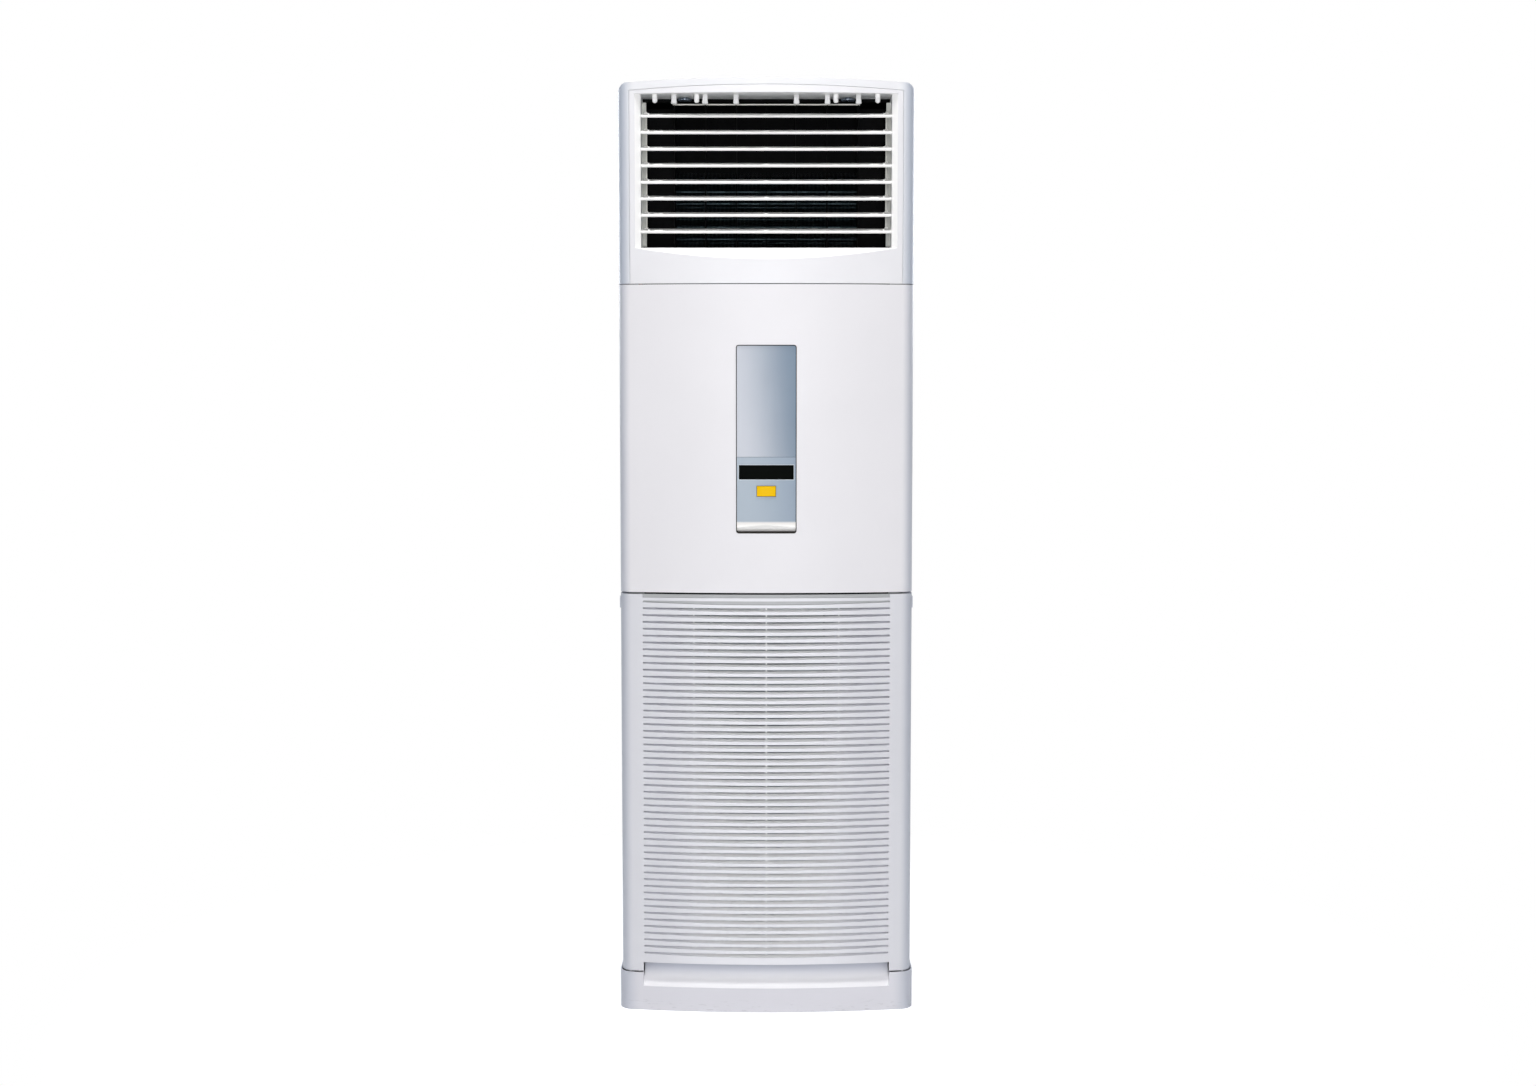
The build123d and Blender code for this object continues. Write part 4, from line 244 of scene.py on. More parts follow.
def moulded(name, colour, roughness=0.42, edge=0.0009, mottle=0.02, scuff_below=None,
            sunk_painted_light=None, corner_painted_shade=None, inner_painted_light=None, slots=None, scoop_painted_light=None):
    """Satin moulded plastic, its sharp edges rounded by edge. Where they are given:
    scuff_below is the height that the scuffing reaches;
    sunk is a painted highlight, the lighter tone of faces set back from the bowed front;
    flank is (start, end, tone), the painted shade that the rounded corners turn to towards the side;
    inner is (y, tone), painted light, a lighter tone for what lies behind that depth;
    slots holds half and high, where the slots cut into a bowed face end, and the tones lining,
    painted light on the slot floors, groove, painted shade in the blind grooves above them, and
    face_painted_highlight and lit_lining, a painted highlight on the face and the floors in the middle;
    hollow holds foot, top and half, where a scoop in the front ends, and the tones
    foot_painted_highlight, a painted highlight low in the scoop, and top_painted_shade, painted shade
    towards its top."""
    finish = Finish(bpy.data.materials.new(name))
    cloudy = finish.rise(finish.noise(2.6, 3.0), 0.35, 0.65)
    tone = finish.mix(cloudy, scaled(colour, 1 - mottle), scaled(colour, 1 + mottle))
    # Painted highlight: faces set back from the bowed front turn to a lighter tone.
    if sunk_painted_light:
        tone = finish.mix(finish.rise(behind_face(finish), 0.0005, 0.0013), tone, sunk_painted_light)
    # Painted shade: the rounded corners turn darker towards the side.
    if corner_painted_shade:
        start, end, turned = corner_painted_shade
        tone = finish.mix(finish.rise(abs(finish.along("X")), start, end), tone, turned)
    # Painted light: what lies behind the given depth turns to a lighter tone.
    if inner_painted_light:
        depth, within = inner_painted_light
        tone = finish.mix(finish.rise(finish.along("Y"), depth - 0.003, depth + 0.003), tone, within)
    grain = finish.noise(1500.0, 2.0)
    peel = finish.noise(160.0, 2.0)
    rough = roughness - 0.03 + grain * 0.06
    # Painted light in the slots: floors lighter than the face, a painted highlight on face and floors in
    # the middle, and painted shade in the blind grooves above.
    if slots:
        half, high = slots["half"], slots["high"]
        aside = finish.along("X")
        aside = aside * aside
        deep = finish.rise(behind_face(finish), 0.0010, 0.0032)
        between = finish.rise(aside, (half + 0.0004) ** 2, (half - 0.0006) ** 2)
        lit = finish.rise(aside, 0.050, 0.002)
        tone = finish.mix(lit, tone, slots["face_painted_highlight"])
        lining = finish.mix(lit, slots["lining"], slots["lit_lining"])
        # The painted tone of the slots: painted light on their floors, painted shade in the blind
        # grooves.
        cut = finish.mix(finish.rise(finish.along("Z"), high - 0.001, high), lining, slots["groove_painted_shade"])
        tone = finish.mix(deep * between, tone, cut)
    # Painted light in the scoop: a painted highlight at its foot that turns to painted shade towards its
    # top.
    if scoop_painted_light:
        foot, half = scoop_painted_light["foot"], scoop_painted_light["half"]
        aside, tall = finish.along("X"), finish.along("Z")
        inside = finish.rise(aside * aside, (half + 0.0005) ** 2, (half - 0.0005) ** 2)
        inside = inside * finish.rise(tall, foot - 0.0005, foot + 0.0005)
        inside = inside * finish.rise(finish.along("Y"), -0.12, -0.13)
        painted_shade_rise = finish.rise(tall, foot + 0.011, scoop_painted_light["top"])
        tone = finish.mix(inside, tone, finish.mix(painted_shade_rise, scoop_painted_light["foot_painted_highlight"], scoop_painted_light["top_painted_shade"]))
    if scuff_below:
        rub = finish.rise(finish.noise(60.0, 4.0, (1, 1, 5)), 0.58, 0.7)
        rub = rub * finish.rise(finish.along("Z"), scuff_below, 0.0)
        tone = finish.mix(rub * 0.35, tone, shade(168, 168, 172))
        rough = rough + rub * 0.15
    return finish.surface(
        Base_Color=tone, Roughness=rough, Specular_IOR_Level=0.5,
        Normal=finish.bump(grain + peel * 2.0, 0.000018, Normal=finish.soft_edge(edge)))


skirt_plastic = moulded(
    "skirt_plastic", shade(221, 220, 226), 0.45, scuff_below=0.035,
    corner_painted_shade=(0.255, 0.294, shade(194, 197, 207)),
    scoop_painted_light={"foot": 0.050, "top": 0.089, "half": 0.251,
            "foot_painted_highlight": shade(249, 248, 251), "top_painted_shade": shade(182, 185, 196)})
dress(skirt_plastic, "plinth")


# ------------------------------------------------------------------ steel sides, back and top
# Folded sheet steel, sprayed with a textured white powder coat and baked, which
# leaves an even orange peel over the flat faces.
def powder_coat(name, colour):
    finish = Finish(bpy.data.materials.new(name))
    peel = finish.noise(420.0, 2.0)
    drift = finish.noise(1.8, 2.0)
    return finish.surface(
        Base_Color=finish.mix(drift, scaled(colour, 0.965), colour), Roughness=0.36 + peel * 0.12,
        Normal=finish.bump(peel, 0.00006, Normal=finish.soft_edge(0.0006)))


dress(powder_coat("white_powder_coat", shade(222, 223, 228)),
      "side_panel_left", "side_panel_right", "back_panel", "top_cover")


# ------------------------------------------------------------------ casing screws
# Zinc-plated pan-head screws, bright with a faint yellow cast, each with a cross
# recess that holds a little shadow.
def plated(name, colour, roughness):
    finish = Finish(bpy.data.materials.new(name))
    haze = finish.noise(700.0, 3.0)
    turned = finish.noise(2400.0, 1.0, (1, 0.1, 1))
    return finish.surface(
        Base_Color=finish.mix(haze, scaled(colour, 0.8), colour), Metallic=1.0,
        Roughness=roughness + haze * 0.12, Normal=finish.bump(turned, 0.00001))


dress(plated("zinc_plate", shade(206, 204, 196), 0.24), "casing_screws")


# ------------------------------------------------------------------ grommets
# Soft black rubber rings pressed into the pipe hole and the cable hole, with a
# dry bloom on the surface.
def rubbery(name, colour, bloom):
    finish = Finish(bpy.data.materials.new(name))
    dust = finish.rise(finish.noise(260.0, 4.0), 0.45, 0.75)
    grain = finish.noise(1800.0, 2.0)
    return finish.surface(
        Base_Color=finish.mix(dust, colour, bloom), Roughness=0.62 + dust * 0.2,
        Specular_IOR_Level=0.12, Normal=finish.bump(grain + dust, 0.00004))


dress(rubbery("black_rubber", shade(26, 26, 27), shade(52, 52, 53)), "grommets")


# ------------------------------------------------------------------ foam liner
# Closed-cell black foam glued inside the head of the cabinet, with open pores on
# its cut skin.
def foam(name, colour):
    finish = Finish(bpy.data.materials.new(name))
    pore = finish.node("TexVoronoi", {}, {"Vector": finish.place(), "Scale": 620.0}, "Distance")
    hole = finish.rise(pore, 0.15, 0.5)
    return finish.surface(
        Base_Color=finish.mix(hole, scaled(colour, 0.4), colour), Roughness=0.88 + hole * 0.08,
        Specular_IOR_Level=0.06, Normal=finish.bump(hole, 0.00025))


black_foam = foam("black_foam", shade(24, 24, 25))
dress(black_foam, "duct_liner")


# ------------------------------------------------------------------ hood
# The moulded band over the top and down both sides of the outlet. Same white as the panels, with a
# generous rounded shoulder that catches the overhead light. Its rounded corners carry painted shade, a
# darker, bluer white towards the sides.
hood_plastic = moulded("hood_plastic", shade(236, 236, 239), 0.4, 0.0011,
                       corner_painted_shade=(0.262, 0.292, shade(190, 197, 210)))
dress(hood_plastic, "upper_casing")


# ------------------------------------------------------------------ outlet frame
# One moulding: bowed face, bevelled reveals, the long sloping sill and the walls of the duct behind.
# Faces set back from the front carry a painted highlight, and the duct's walls are painted a lighter,
# cooler white, as painted light.
outlet_plastic = moulded("outlet_plastic", shade(237, 236, 239), 0.38, 0.0012,
                         sunk_painted_light=shade(251, 250, 249), inner_painted_light=(-0.140, shade(246, 248, 248)))
dress(outlet_plastic, "outlet_frame")


def bevelled(width, segments=2):
    """Bevels every sharp edge of the piece being worked on, and shades it smooth."""
    piece = bpy.context.object
    piece.modifiers.new("round", "BEVEL").width = width
    piece.modifiers["round"].segments = segments
    bpy.ops.object.modifier_apply(modifier="round")
    bpy.ops.object.shade_smooth_by_angle(angle=math.radians(35))
    return piece


def joined(parts, name, material):
    """Joins pieces into one, clears its placement into its mesh and gives it a material."""
    bpy.ops.object.select_all(action="DESELECT")
    for part in parts:
        part.select_set(True)
    bpy.context.view_layer.objects.active = parts[0]
    if len(parts) > 1:
        bpy.ops.object.join()
    whole = bpy.context.object
    bpy.ops.object.transform_apply(location=True, rotation=True, scale=True)
    whole.name = name
    whole.data.materials.clear()
    whole.data.materials.append(material)
    whole.select_set(False)
    return whole


def faces_where(test):
    """In edit mode, selects the faces whose middle and normal pass a test."""
    bpy.ops.mesh.select_mode(type="FACE")
    bpy.ops.mesh.select_all(action="DESELECT")
    bpy.ops.object.mode_set(mode="OBJECT")
    piece = bpy.context.object
    for face in piece.data.polygons:
        face.select = test(piece.matrix_world @ face.center, face.normal)
    bpy.ops.object.mode_set(mode="EDIT")


# White tabs that hang from the front of the duct's roof, one before each vane. Each
# is a small block that flares a little towards its foot.
ROOF_Z = 1.851
VANE_PLACES = (-0.185, -0.12275, -0.0605, 0.0605, 0.12275, 0.185)
TAB_SIZE = (0.0098, 0.0060, 0.0180)
TAB_Y = -0.1375
TAB_MIDDLE = ROOF_Z - 0.0088
TAB_WAIST = ROOF_Z - 0.0092
tabs = []
for x in VANE_PLACES:
    bpy.ops.mesh.primitive_cube_add(size=1, location=(0.99 * x, TAB_Y, TAB_MIDDLE), scale=TAB_SIZE)
    bpy.ops.object.mode_set(mode="EDIT")
    bpy.ops.mesh.select_all(action="SELECT")
    bpy.ops.mesh.bisect(plane_co=(0, 0, TAB_WAIST), plane_no=(0, 0, 1))
    faces_where(lambda middle, normal: normal.z < -0.5)
    bpy.ops.transform.resize(value=(1.2, 1.1, 1))
    bpy.ops.mesh.inset(thickness=0.0012)
    bpy.ops.transform.translate(value=(0, 0, -0.0006))
    bpy.ops.object.mode_set(mode="OBJECT")
    tabs.append(bevelled(0.0009, 3))
vane_tabs = joined(tabs, "vane_tabs", moulded("peg_plastic", shade(226, 226, 226), 0.4, 0.0005))
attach(vane_tabs, "cabinet")


# Two turned knobs of blued steel under the roof, which hold the vanes' carrier. Each
# is a short neck with a flat head and a shallow dimple.
KNOB_X = 0.1638
KNOB_Y = -0.0905
NECK_RADIUS = 0.0062
NECK_LONG = 0.0030
NECK_MIDDLE = ROOF_Z - 0.0012
HEAD_OVER_NECK = 2.26
HEAD_THICK = 0.0026
knobs = []
for x in (-KNOB_X, KNOB_X):
    bpy.ops.mesh.primitive_cylinder_add(vertices=40, radius=NECK_RADIUS, depth=NECK_LONG,
                                        location=(x, KNOB_Y, NECK_MIDDLE))
    bpy.ops.object.mode_set(mode="EDIT")
    faces_where(lambda middle, normal: normal.z < -0.5)
    bpy.ops.mesh.extrude_region_move()
    bpy.ops.transform.resize(value=(HEAD_OVER_NECK, HEAD_OVER_NECK, 1))
    bpy.ops.mesh.extrude_region_move(TRANSFORM_OT_translate={"value": (0, 0, -HEAD_THICK)})
    bpy.ops.mesh.inset(thickness=0.0055)
    bpy.ops.transform.translate(value=(0, 0, 0.0007))
    bpy.ops.object.mode_set(mode="OBJECT")
    knobs.append(bevelled(0.0004))
blued = Finish(bpy.data.materials.new("blued_knob"))
ringed = blued.noise(240.0, 3.0, (1, 1, 0.1))
blued.surface(Base_Color=blued.mix(ringed, shade(96, 108, 124), shade(150, 162, 178)), Metallic=0.5,
              Roughness=0.2 + ringed * 0.16, Normal=blued.bump(ringed, 0.00004))
roof_knobs = joined(knobs, "roof_knobs", blued.owner)
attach(roof_knobs, "cabinet")


# ------------------------------------------------------------------ louvres and their links
# Eight moulded blades with a rounded nose, turned together by two upright bars. Small
# moulded stops stand on each blade behind its nose, at the middle and near both ends.
TOP_BLADE_Z = 1.8112
BLADE_PITCH = 0.0325
BLADE_Y = -0.132
BLADE_TILT = math.radians(16.0)
louvre_white = moulded("louvre_plastic", shade(250, 249, 247), 0.36, 0.0005)
dress(louvre_white, *[f"louvre_{i}" for i in range(1, 9)])
dress(moulded("link_plastic", shade(222, 221, 214), 0.42, 0.0004), "louvre_links", "vane_link")

# Each stop's place along the blade, width and height; then how it sits on the blade.
BLADE_STOPS = [(0, 0.0085, 0.0014)] + [
    (side * x, wide, tall)
    for x, wide, tall in ((0.2338, 0.0030, 0.0030), (0.2195, 0.0080, 0.0009), (0.2100, 0.0082, 0.0012))
    for side in (-1, 1)]
STOP_DEEP = 0.0052
STOP_AHEAD = 0.0098
BLADE_TOP = 0.0017
STOP_ROOT = 0.0010
for i in range(8):
    axis = Vector((0, BLADE_Y, TOP_BLADE_Z - BLADE_PITCH * i))
    stops = []
    for x, wide, tall in BLADE_STOPS:
        bpy.ops.mesh.primitive_cube_add(
            size=1, location=(x, BLADE_Y - STOP_AHEAD, axis.z + BLADE_TOP + tall / 2),
            scale=(wide, STOP_DEEP, tall + STOP_ROOT))
        bpy.ops.object.mode_set(mode="EDIT")
        faces_where(lambda middle, normal: normal.z > 0.5)
        bpy.ops.mesh.inset(thickness=0.0005)
        bpy.ops.mesh.select_all(action="SELECT")
        bpy.ops.transform.rotate(value=-BLADE_TILT, orient_axis="X", center_override=axis)
        bpy.ops.object.mode_set(mode="OBJECT")
        stops.append(bevelled(0.0004))
    stop = joined(stops, f"louvre_{i + 1}_stops", louvre_white)
    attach(stop, f"louvre_{i + 1}")


# ------------------------------------------------------------------ outlet side rails and baffles
# Ribbed grey rails stand behind the link bars, one a side, and black foam strips
# behind them blank off the ends of the coil.
RAIL_SIZE = (0.0086, 0.0090, 0.2860)
RAIL_PLACE = (0.24535, -0.0945, 1.6975)
GROOVES = ((0.2428, 0.2436), (0.2464, 0.2472))  # the two grooves down a rail, from edge to edge
GROOVE_DEEP = 0.0012


def ribbed_rail(side):
    x, y, z = RAIL_PLACE
    bpy.ops.mesh.primitive_cube_add(size=1, location=(side * x, y, z), scale=RAIL_SIZE)
    bpy.ops.object.transform_apply(location=True, rotation=True, scale=True)
    bpy.ops.object.mode_set(mode="EDIT")
    for edge in (*GROOVES[0], *GROOVES[1]):
        bpy.ops.mesh.select_all(action="SELECT")
        bpy.ops.mesh.bisect(plane_co=(side * edge, 0, 0), plane_no=(1, 0, 0))
    faces_where(lambda middle, normal: normal.y < -0.5 and any(
        start < abs(middle.x) < end for start, end in GROOVES))
    bpy.ops.mesh.extrude_region_move(TRANSFORM_OT_translate={"value": (0, GROOVE_DEEP, 0)})
    bpy.ops.object.mode_set(mode="OBJECT")
    return bevelled(0.0002, 1)


side_rails = joined([ribbed_rail(-1), ribbed_rail(1)], "outlet_side_rails",
                    moulded("rail_plastic", shade(206, 207, 202), 0.5, 0.0003))
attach(side_rails, "cabinet")

BAFFLE_SIZE = (0.0620, 0.0080, 0.2860)
BAFFLE_PLACE = (0.2203, 0.0060, 1.6990)
strips = []
for side in (-1, 1):
    x, y, z = BAFFLE_PLACE
    bpy.ops.mesh.primitive_cube_add(size=1, location=(side * x, y, z), scale=BAFFLE_SIZE)
    strips.append(bevelled(0.0010))
baffles = joined(strips, "coil_end_baffles", black_foam)
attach(baffles, "cabinet")


# ------------------------------------------------------------------ upright vanes and their carrier
# Thin black blades behind the louvres that steer the air sideways, moulded in
# black plastic with a faint flow line down each blade.
def black_moulded(name, colour, roughness):
    finish = Finish(bpy.data.materials.new(name))
    flow = finish.noise(16.0, 3.0, (1, 1, 0.15))
    grain = finish.noise(1300.0, 2.0)
    return finish.surface(
        Base_Color=finish.mix(finish.rise(flow, 0.4, 0.7), colour, scaled(colour, 1.5)),
        Specular_IOR_Level=0.05, Roughness=roughness + grain * 0.1,
        Normal=finish.bump(grain + flow, 0.00002, Normal=finish.soft_edge(0.0004)))


dress(black_moulded("black_plastic", shade(8, 9, 9), 0.6),
      *[f"vane_{i}" for i in range(1, 7)], "vane_carrier")
dress(plated("motor_can", shade(176, 178, 180), 0.3), "swing_motor")


# ------------------------------------------------------------------ evaporator
# A slanting pack of thin aluminium fins with a blue anti-corrosion coat, pressed
# onto two rows of copper tube between galvanised end plates.
FOOT = Vector((0, -0.098, 0.908))
HEAD = Vector((0, 0.122, 1.718))
FINS = 176
FIN_THICK = 0.00016
FIN_DEEP = 0.0438
PACK_WIDE = 0.4918
FIN_BLUE = shade(34, 44, 48)


def repeated(piece, count, step):
    """Makes a row of copies of a piece, in the piece's own mesh."""
    row = piece.modifiers.new("row", "ARRAY")
    row.count = count
    row.use_relative_offset = False
    row.use_constant_offset = True
    row.constant_offset_displace = step
    bpy.ops.object.modifier_apply(modifier="row")
    return piece


lean = math.atan2(HEAD.y - FOOT.y, HEAD.z - FOOT.z)
bpy.ops.mesh.primitive_cube_add(size=1, scale=(FIN_THICK, FIN_DEEP, (HEAD - FOOT).length - 0.0004))
bpy.ops.object.transform_apply(location=True, rotation=True, scale=True)
bpy.ops.object.mode_set(mode="EDIT")
bpy.ops.mesh.select_all(action="SELECT")
bpy.ops.transform.rotate(value=lean, orient_axis="X", center_override=(0, 0, 0))
bpy.ops.transform.translate(value=(HEAD + FOOT) / 2 + Vector((-PACK_WIDE / 2, 0, 0)))
bpy.ops.object.mode_set(mode="OBJECT")
fins = repeated(bpy.context.object, FINS, (PACK_WIDE / (FINS - 1), 0, 0))
fin_finish = Finish(bpy.data.materials.new("blue_fins"))
streak = fin_finish.noise(22.0, 3.0, (6, 1, 1))
rows = fin_finish.node("TexWave", {"wave_type": "BANDS", "bands_direction": "Z"},
                       {"Vector": fin_finish.place(), "Scale": 11.875, "Distortion": 0.0})
fin_finish.surface(
    Base_Color=fin_finish.mix(streak, FIN_BLUE, shade(72, 86, 90)),
    Metallic=0.7, Roughness=0.34 + streak * 0.2, Normal=fin_finish.bump(rows, 0.0002))
fin_pack = joined([fins], "fin_pack", fin_finish.owner)
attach(fin_pack, "cabinet")
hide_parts("evaporator_fins")


def copper(name, collars_within=None):
    """Drawn copper; between the coil's end plates the fins' collars wrap it in blue."""
    finish = Finish(bpy.data.materials.new(name))
    tarnish = finish.rise(finish.noise(38.0, 5.0), 0.38, 0.72)
    drawn = finish.noise(900.0, 2.0, (1, 1, 0.05))
    tone = finish.mix(tarnish, shade(196, 124, 84), shade(120, 70, 46))
    if collars_within:
        bare = finish.rise(abs(finish.along("X")), collars_within - 0.0006, collars_within)
        tone = finish.mix(bare, FIN_BLUE, tone)
    return finish.surface(
        Base_Color=tone, Metallic=0.9,
        Roughness=0.24 + tarnish * 0.26, Normal=finish.bump(drawn, 0.00002))


dress(copper("drawn_copper"), "refrigerant_pipes")
dress(copper("collared_copper", 0.2465), "evaporator_tubes")


# ------------------------------------------------------------------ middle panel
# The plain bowed front, moulded in satin white, with a cut-out for the display strip. Its rounded
# corners carry painted shade, a cooler, darker white.
panel_plastic = moulded("panel_plastic", shade(234, 232, 235), 0.4, 0.0012, mottle=0.012,
                        corner_painted_shade=(0.270, 0.294, shade(206, 209, 218)))
dress(panel_plastic, "front_panel")


# ------------------------------------------------------------------ display strip
# Two plates with a silvery metallic coat, brushed upright, and a painted reflection in their colour that
# runs from pale at the left to steel blue at the right. The upper one is plain.
WINDOW_Z = 1.10245
WINDOW_HALF = (0.0549, 0.0145)
PAINTED_LIGHT_SHARE = 0.95  # how strongly the painted reflection on the lip and the painted highlight round the window show


def silver_with_painted_reflection(name, left, right, lipped=False):
    """The silvery coat, with a painted reflection from left to right. A lipped plate also has a
    painted reflection of the floor on its rolled foot, lighter at the bottom, and a painted
    highlight round its window.
    """
    finish = Finish(bpy.data.materials.new(name))
    slant = finish.along("X") + (finish.along("Z") - 1.35) * 0.1
    across = finish.rise(slant, -0.078, 0.060)
    hair = finish.noise(520.0, 3.0, (1, 1, 0.03))
    cloud = finish.noise(12.0, 2.0)
    # Painted reflection: pale at the left, steel blue at the right, with a little random cloud.
    tone = finish.mix(across * 0.92 + cloud * 0.08, left, right)
    if lipped:
        # Painted reflection of the floor on the rolled foot, painted lighter towards its bottom.
        lip = finish.rise(finish.along("Z"), 1.0050, 1.0005)
        lip_painted_reflection = finish.mix(finish.rise(finish.along("Z"), 1.001, 0.992),
                           shade(226, 223, 219), shade(255, 253, 250))
        tone = finish.mix(lip * PAINTED_LIGHT_SHARE, tone, lip_painted_reflection)
        # Painted highlight in a thin band round the window.
        past = (abs(finish.along("X")) - WINDOW_HALF[0]).or_larger(
            abs(finish.along("Z") - WINDOW_Z) - WINDOW_HALF[1])
        painted_rim_shading = finish.rise(past, 0.0014, 0.0008) * PAINTED_LIGHT_SHARE * 0.7
        tone = finish.mix(painted_rim_shading, tone, shade(222, 228, 234))
    return finish.surface(
        Base_Color=tone, Metallic=0.1, Roughness=0.36 + hair * 0.14, Specular_IOR_Level=0.3,
        Normal=finish.bump(hair, 0.00002, Normal=finish.soft_edge(0.0007)))


dress(silver_with_painted_reflection("upper_plate_painted_reflection", shade(194, 197, 205), shade(105, 124, 143)), "trim_plate")
dress(silver_with_painted_reflection("lower_plate_painted_reflection", shade(164, 175, 186), shade(133, 148, 165), True), "control_plate")


# A thin dark gasket laps the edge of the plates. It follows the panel's bow and the
# rounded corners, so it is cut from a frame by a drum of the panel's radius.
GASKET_HALF = 0.06040
GASKET_LOW = 0.98005
GASKET_HIGH = 1.35595
GASKET_CORNER = 0.0053
GASKET_WIDE = 0.0015
GASKET_BOW_RADIUS = 1.67585
BOW_CENTRE_Y = 1.505


def rounded_block(half, low, high, radius):
    """A block through the front, its upright edges rounded as seen from the front."""
    bpy.ops.mesh.primitive_cube_add(size=1, location=(0, -0.168, (low + high) / 2),
                                    scale=(2 * half, 0.012, high - low))
    bpy.ops.object.transform_apply(location=True, rotation=True, scale=True)
    piece = bpy.context.object
    for edge in piece.data.edges:
        first, last = (piece.data.vertices[v].co for v in edge.vertices)
        edge.select = abs(first.y - last.y) > 0.001
    bpy.ops.object.mode_set(mode="EDIT")
    bpy.ops.mesh.select_mode(type="EDGE")
    bpy.ops.mesh.bevel(offset=radius, segments=6, affect="EDGES")
    bpy.ops.object.mode_set(mode="OBJECT")
    return piece


def drum(radius, depth, z):
    """A wide upright drum about the line that the bowed fronts curve round."""
    bpy.ops.mesh.primitive_cylinder_add(vertices=1400, radius=radius, depth=depth,
                                        location=(0, BOW_CENTRE_Y, z))
    return bpy.context.object


def carved(piece, tool, operation):
    """Cuts a piece with a tool, which is then thrown away."""
    bpy.context.view_layer.objects.active = piece
    piece.modifiers.new("cut", "BOOLEAN").object = tool
    piece.modifiers["cut"].operation = operation
    piece.modifiers["cut"].solver = "EXACT"
    bpy.ops.object.modifier_apply(modifier="cut")
    bpy.data.objects.remove(tool)
    return piece


gasket = rounded_block(GASKET_HALF, GASKET_LOW, GASKET_HIGH, GASKET_CORNER)
opening = rounded_block(GASKET_HALF - GASKET_WIDE, GASKET_LOW + GASKET_WIDE,
                        GASKET_HIGH - GASKET_WIDE, GASKET_CORNER - GASKET_WIDE)
gasket = carved(gasket, opening, "DIFFERENCE")
gasket = carved(gasket, drum(GASKET_BOW_RADIUS, 0.6, (GASKET_LOW + GASKET_HIGH) / 2), "INTERSECT")
gasket = joined([gasket], "strip_gasket", rubbery("gasket_rubber", shade(46, 42, 40), shade(78, 73, 71)))
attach(gasket, "cabinet")

# The window is smoked acrylic, gloss black, with nothing lit behind it.
pane = Finish(bpy.data.materials.new("smoked_acrylic"))
film = pane.noise(30.0, 3.0)
pane.surface(Base_Color=pane.mix(film, shade(7, 9, 8), shade(13, 15, 14)), Roughness=0.08 + film * 0.08,
             Specular_IOR_Level=0.002, Normal=pane.bump(pane.noise(240.0, 1.0), 0.000006))
dress(pane.owner, "display_window")

# The button is moulded in yellow acetal, slightly glossy where fingers polish it, with painted shade
# round its edge.
BUTTON_Z = 1.06455
press = Finish(bpy.data.materials.new("yellow_acetal"))
from_thumb = press.node("VectorMath", {"operation": "DISTANCE"},
                        {0: press.place(), 1: (0, -0.171, 1.0646)}, "Value")
polish = press.rise(from_thumb, 0.016, 0.004)
speck = press.noise(900.0, 2.0)
# Painted shade round the button's edge.
painted_rim_shading = press.rise(abs(press.along("X")), 0.0182, 0.0189).or_larger(
    press.rise(abs(press.along("Z") - BUTTON_Z), 0.0096, 0.0103))
yellow = press.mix(speck, shade(246, 192, 0), shade(255, 206, 6))
press.surface(Base_Color=press.mix(painted_rim_shading, yellow, shade(110, 84, 20)),
              Roughness=0.46 - polish * 0.12, Specular_IOR_Level=0.05,
              Normal=press.bump(speck, 0.00002, Normal=press.soft_edge(0.0006)))
dress(press.owner, "push_button")
dress(black_moulded("tray_plastic", shade(30, 31, 32), 0.45), "strip_housing")


# The display's board: green resist over copper tracks; what stands proud of it in
# front is the display block, its posts and the switch, in dark plastic.
def circuit(name, board_y):
    finish = Finish(bpy.data.materials.new(name))
    track = finish.node("TexBrick", {"offset": 0.37, "squash": 0.6},
                        {"Vector": finish.place(), "Color1": WHITE, "Color2": (0.7, 0.7, 0.7, 1),
                         "Mortar": (0, 0, 0, 1), "Scale": 64.0, "Mortar Size": 0.03}, "Fac")
    resist = finish.mix(track, shade(22, 92, 46), shade(48, 128, 70))
    chip = finish.mix(finish.noise(46.0, 0.0), shade(26, 27, 30), shade(96, 98, 104))
    proud = finish.rise(finish.along("Y"), board_y - 0.0004, board_y - 0.0012)
    return finish.surface(
        Base_Color=finish.mix(proud, resist, chip), Roughness=0.34 + proud * 0.2,
        Normal=finish.bump(track, 0.00004))


dress(circuit("display_circuit", -0.1585), "display_board")


# ------------------------------------------------------------------ intake grille
# One large moulding with fifty-two open slots under two blind grooves, in the resin of the panels.
# Painted light: the slot floors are painted lighter than the face, with a painted highlight on them and
# on the face in the middle, and painted shade in the blind grooves and on the rounded corners.
grille_plastic = moulded(
    "grille_plastic", shade(221, 221, 226), 0.44, 0.0007, mottle=0.012,
    corner_painted_shade=(0.270, 0.294, shade(196, 200, 210)),
    slots={"half": 0.2495, "high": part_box("intake_grille")[1][2] - 0.024,
           "lining": shade(236, 236, 242), "groove_painted_shade": shade(196, 197, 199),
           "face_painted_highlight": shade(238, 238, 243), "lit_lining": shade(255, 255, 255)})
dress(grille_plastic, "intake_grille", "grille_clip_left", "grille_clip_right")


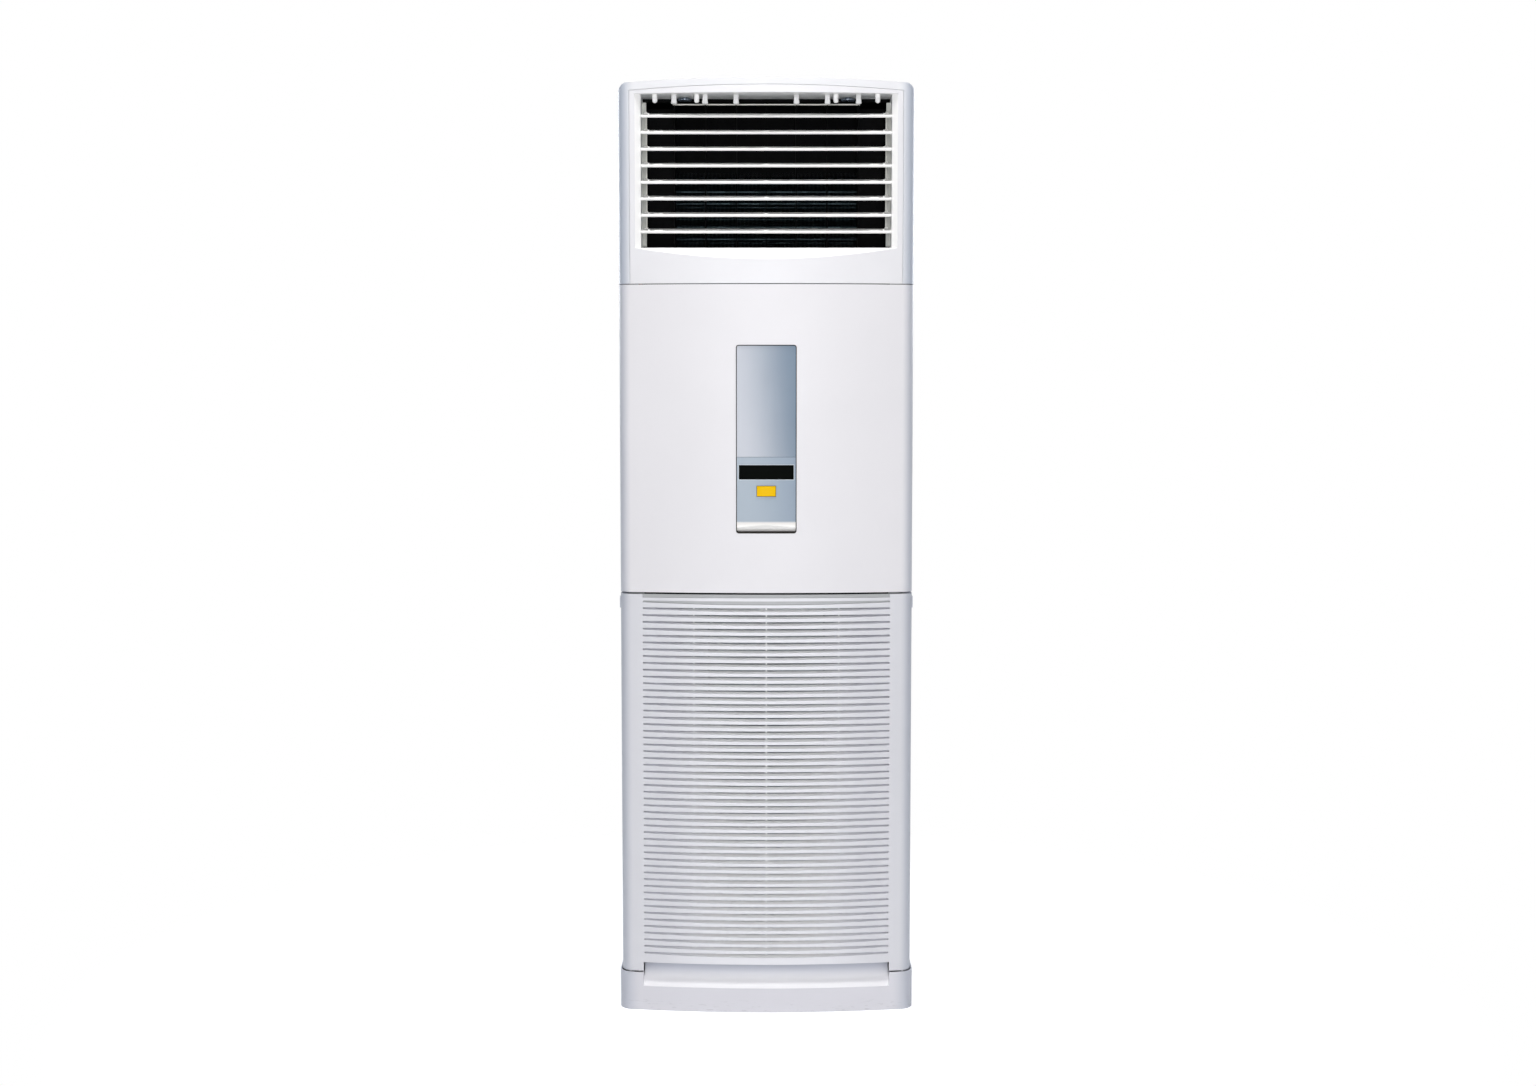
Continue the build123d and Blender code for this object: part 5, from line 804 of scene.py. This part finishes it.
# ------------------------------------------------------------------ joint seals
# Black rubber strips close the joints over and under the middle panel, a little way
# in. Each is cut to the bow of the fronts.
SEAL_WIDE = 0.5360
SEAL_DEEP = 0.0200
SEAL_Y = -0.1600
SEAL_BOW_RADIUS = 1.6732
SEAL_CLEAR = 0.0001
GRILLE_CLEAR = 0.0007  # the grille tilts, so its seal keeps further from it
panel_low, panel_high = (corner[2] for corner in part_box("front_panel"))
for name, joint_low, joint_high in (
        ("upper_joint_seal", panel_high + SEAL_CLEAR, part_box("upper_casing")[0][2] - SEAL_CLEAR),
        ("joint_seal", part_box("intake_grille")[1][2] + GRILLE_CLEAR, panel_low + SEAL_CLEAR)):
    bpy.ops.mesh.primitive_cube_add(size=1, location=(0, SEAL_Y, (joint_low + joint_high) / 2),
                                    scale=(SEAL_WIDE, SEAL_DEEP, joint_high - joint_low))
    bpy.ops.object.transform_apply(location=True, rotation=True, scale=True)
    seal = bpy.context.object
    seal = carved(seal, drum(SEAL_BOW_RADIUS, 0.1, joint_low), "INTERSECT")
    seal = joined([seal], name, rubbery(name + "_rubber", shade(5, 5, 5), shade(12, 12, 12)))
    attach(seal, "cabinet")


# ------------------------------------------------------------------ air filter
# A grey moulded frame in black guides, with a pale woven nylon net over its rear
# face. The net's threads lie about two millimetres apart each way.
dress(moulded("filter_plastic", shade(150, 154, 160), 0.5, 0.0005), "filter_frame")
dress(black_moulded("guide_plastic", shade(40, 42, 46), 0.5), "filter_guides")
NET_LOW, NET_HIGH, NET_HALF, NET_Y = 0.119, 0.809, 0.2335, -0.1204
NET_MARGIN = 0.0008
NET_LAP = 0.0001  # the uprights lie this much behind the net's middle, the crossings before it
THREAD_WIDE = 0.00060
THREAD_THICK = 0.00035
UPRIGHTS = 224
CROSSINGS = 332
threads = []
for count, size, start, step in (
        (UPRIGHTS, (THREAD_WIDE, THREAD_THICK, NET_HIGH - NET_LOW),
         (-NET_HALF + NET_MARGIN, NET_Y + NET_LAP, (NET_LOW + NET_HIGH) / 2),
         ((2 * NET_HALF - 2 * NET_MARGIN) / (UPRIGHTS - 1), 0, 0)),
        (CROSSINGS, (2 * NET_HALF, THREAD_THICK, THREAD_WIDE),
         (0, NET_Y - NET_LAP, NET_LOW + NET_MARGIN),
         (0, 0, (NET_HIGH - NET_LOW - 2 * NET_MARGIN) / (CROSSINGS - 1)))):
    bpy.ops.mesh.primitive_cube_add(size=1, location=start, scale=size)
    bpy.ops.object.transform_apply(location=True, rotation=True, scale=True)
    threads.append(repeated(bpy.context.object, count, step))
nylon = Finish(bpy.data.materials.new("nylon_thread"))
fuzz = nylon.noise(420.0, 3.0)
nylon.surface(Base_Color=nylon.mix(fuzz, shade(196, 202, 210), shade(226, 230, 236)),
              Roughness=0.5 + fuzz * 0.2, Normal=nylon.bump(fuzz, 0.00005))
net = joined(threads, "woven_net", nylon.owner)
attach(net, "air_filter")
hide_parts("filter_net")


# ------------------------------------------------------------------ blower and motor
# A forward-curved wheel moulded in dark grey plastic on a ground steel shaft, and an
# induction motor in black enamel.
dress(black_moulded("wheel_plastic", shade(56, 58, 60), 0.46), "blower_wheel")
dress(plated("ground_steel", shade(186, 188, 192), 0.2), "motor_shaft")
dress(black_moulded("motor_enamel", shade(28, 29, 31), 0.3), "fan_motor")


# ------------------------------------------------------------------ drain
# The tray is black moulded plastic. Its hose is soft grey PVC with fine ribs that
# run round it.
dress(black_moulded("drip_tray_plastic", shade(34, 35, 37), 0.42), "drain_tray")
hose = Finish(bpy.data.materials.new("ribbed_hose"))
ring = hose.node("TexWave", {"wave_type": "BANDS", "bands_direction": "Z"},
                 {"Vector": hose.place(), "Scale": 70.0, "Distortion": 0.0})
hose.surface(Base_Color=hose.mix(ring, shade(128, 130, 134), shade(170, 172, 176)),
             Roughness=0.4 + ring * 0.15, Normal=hose.bump(ring, 0.0006))
dress(hose.owner, "drain_hose")


# ------------------------------------------------------------------ electrics
# The main board stands on spacers in the galvanised box, with its transformer,
# capacitors and relays; the terminal block is black with plated screws.
dress(circuit("main_circuit", 0.0508), "control_board")
dress(black_moulded("terminal_plastic", shade(36, 36, 38), 0.38), "terminal_block")
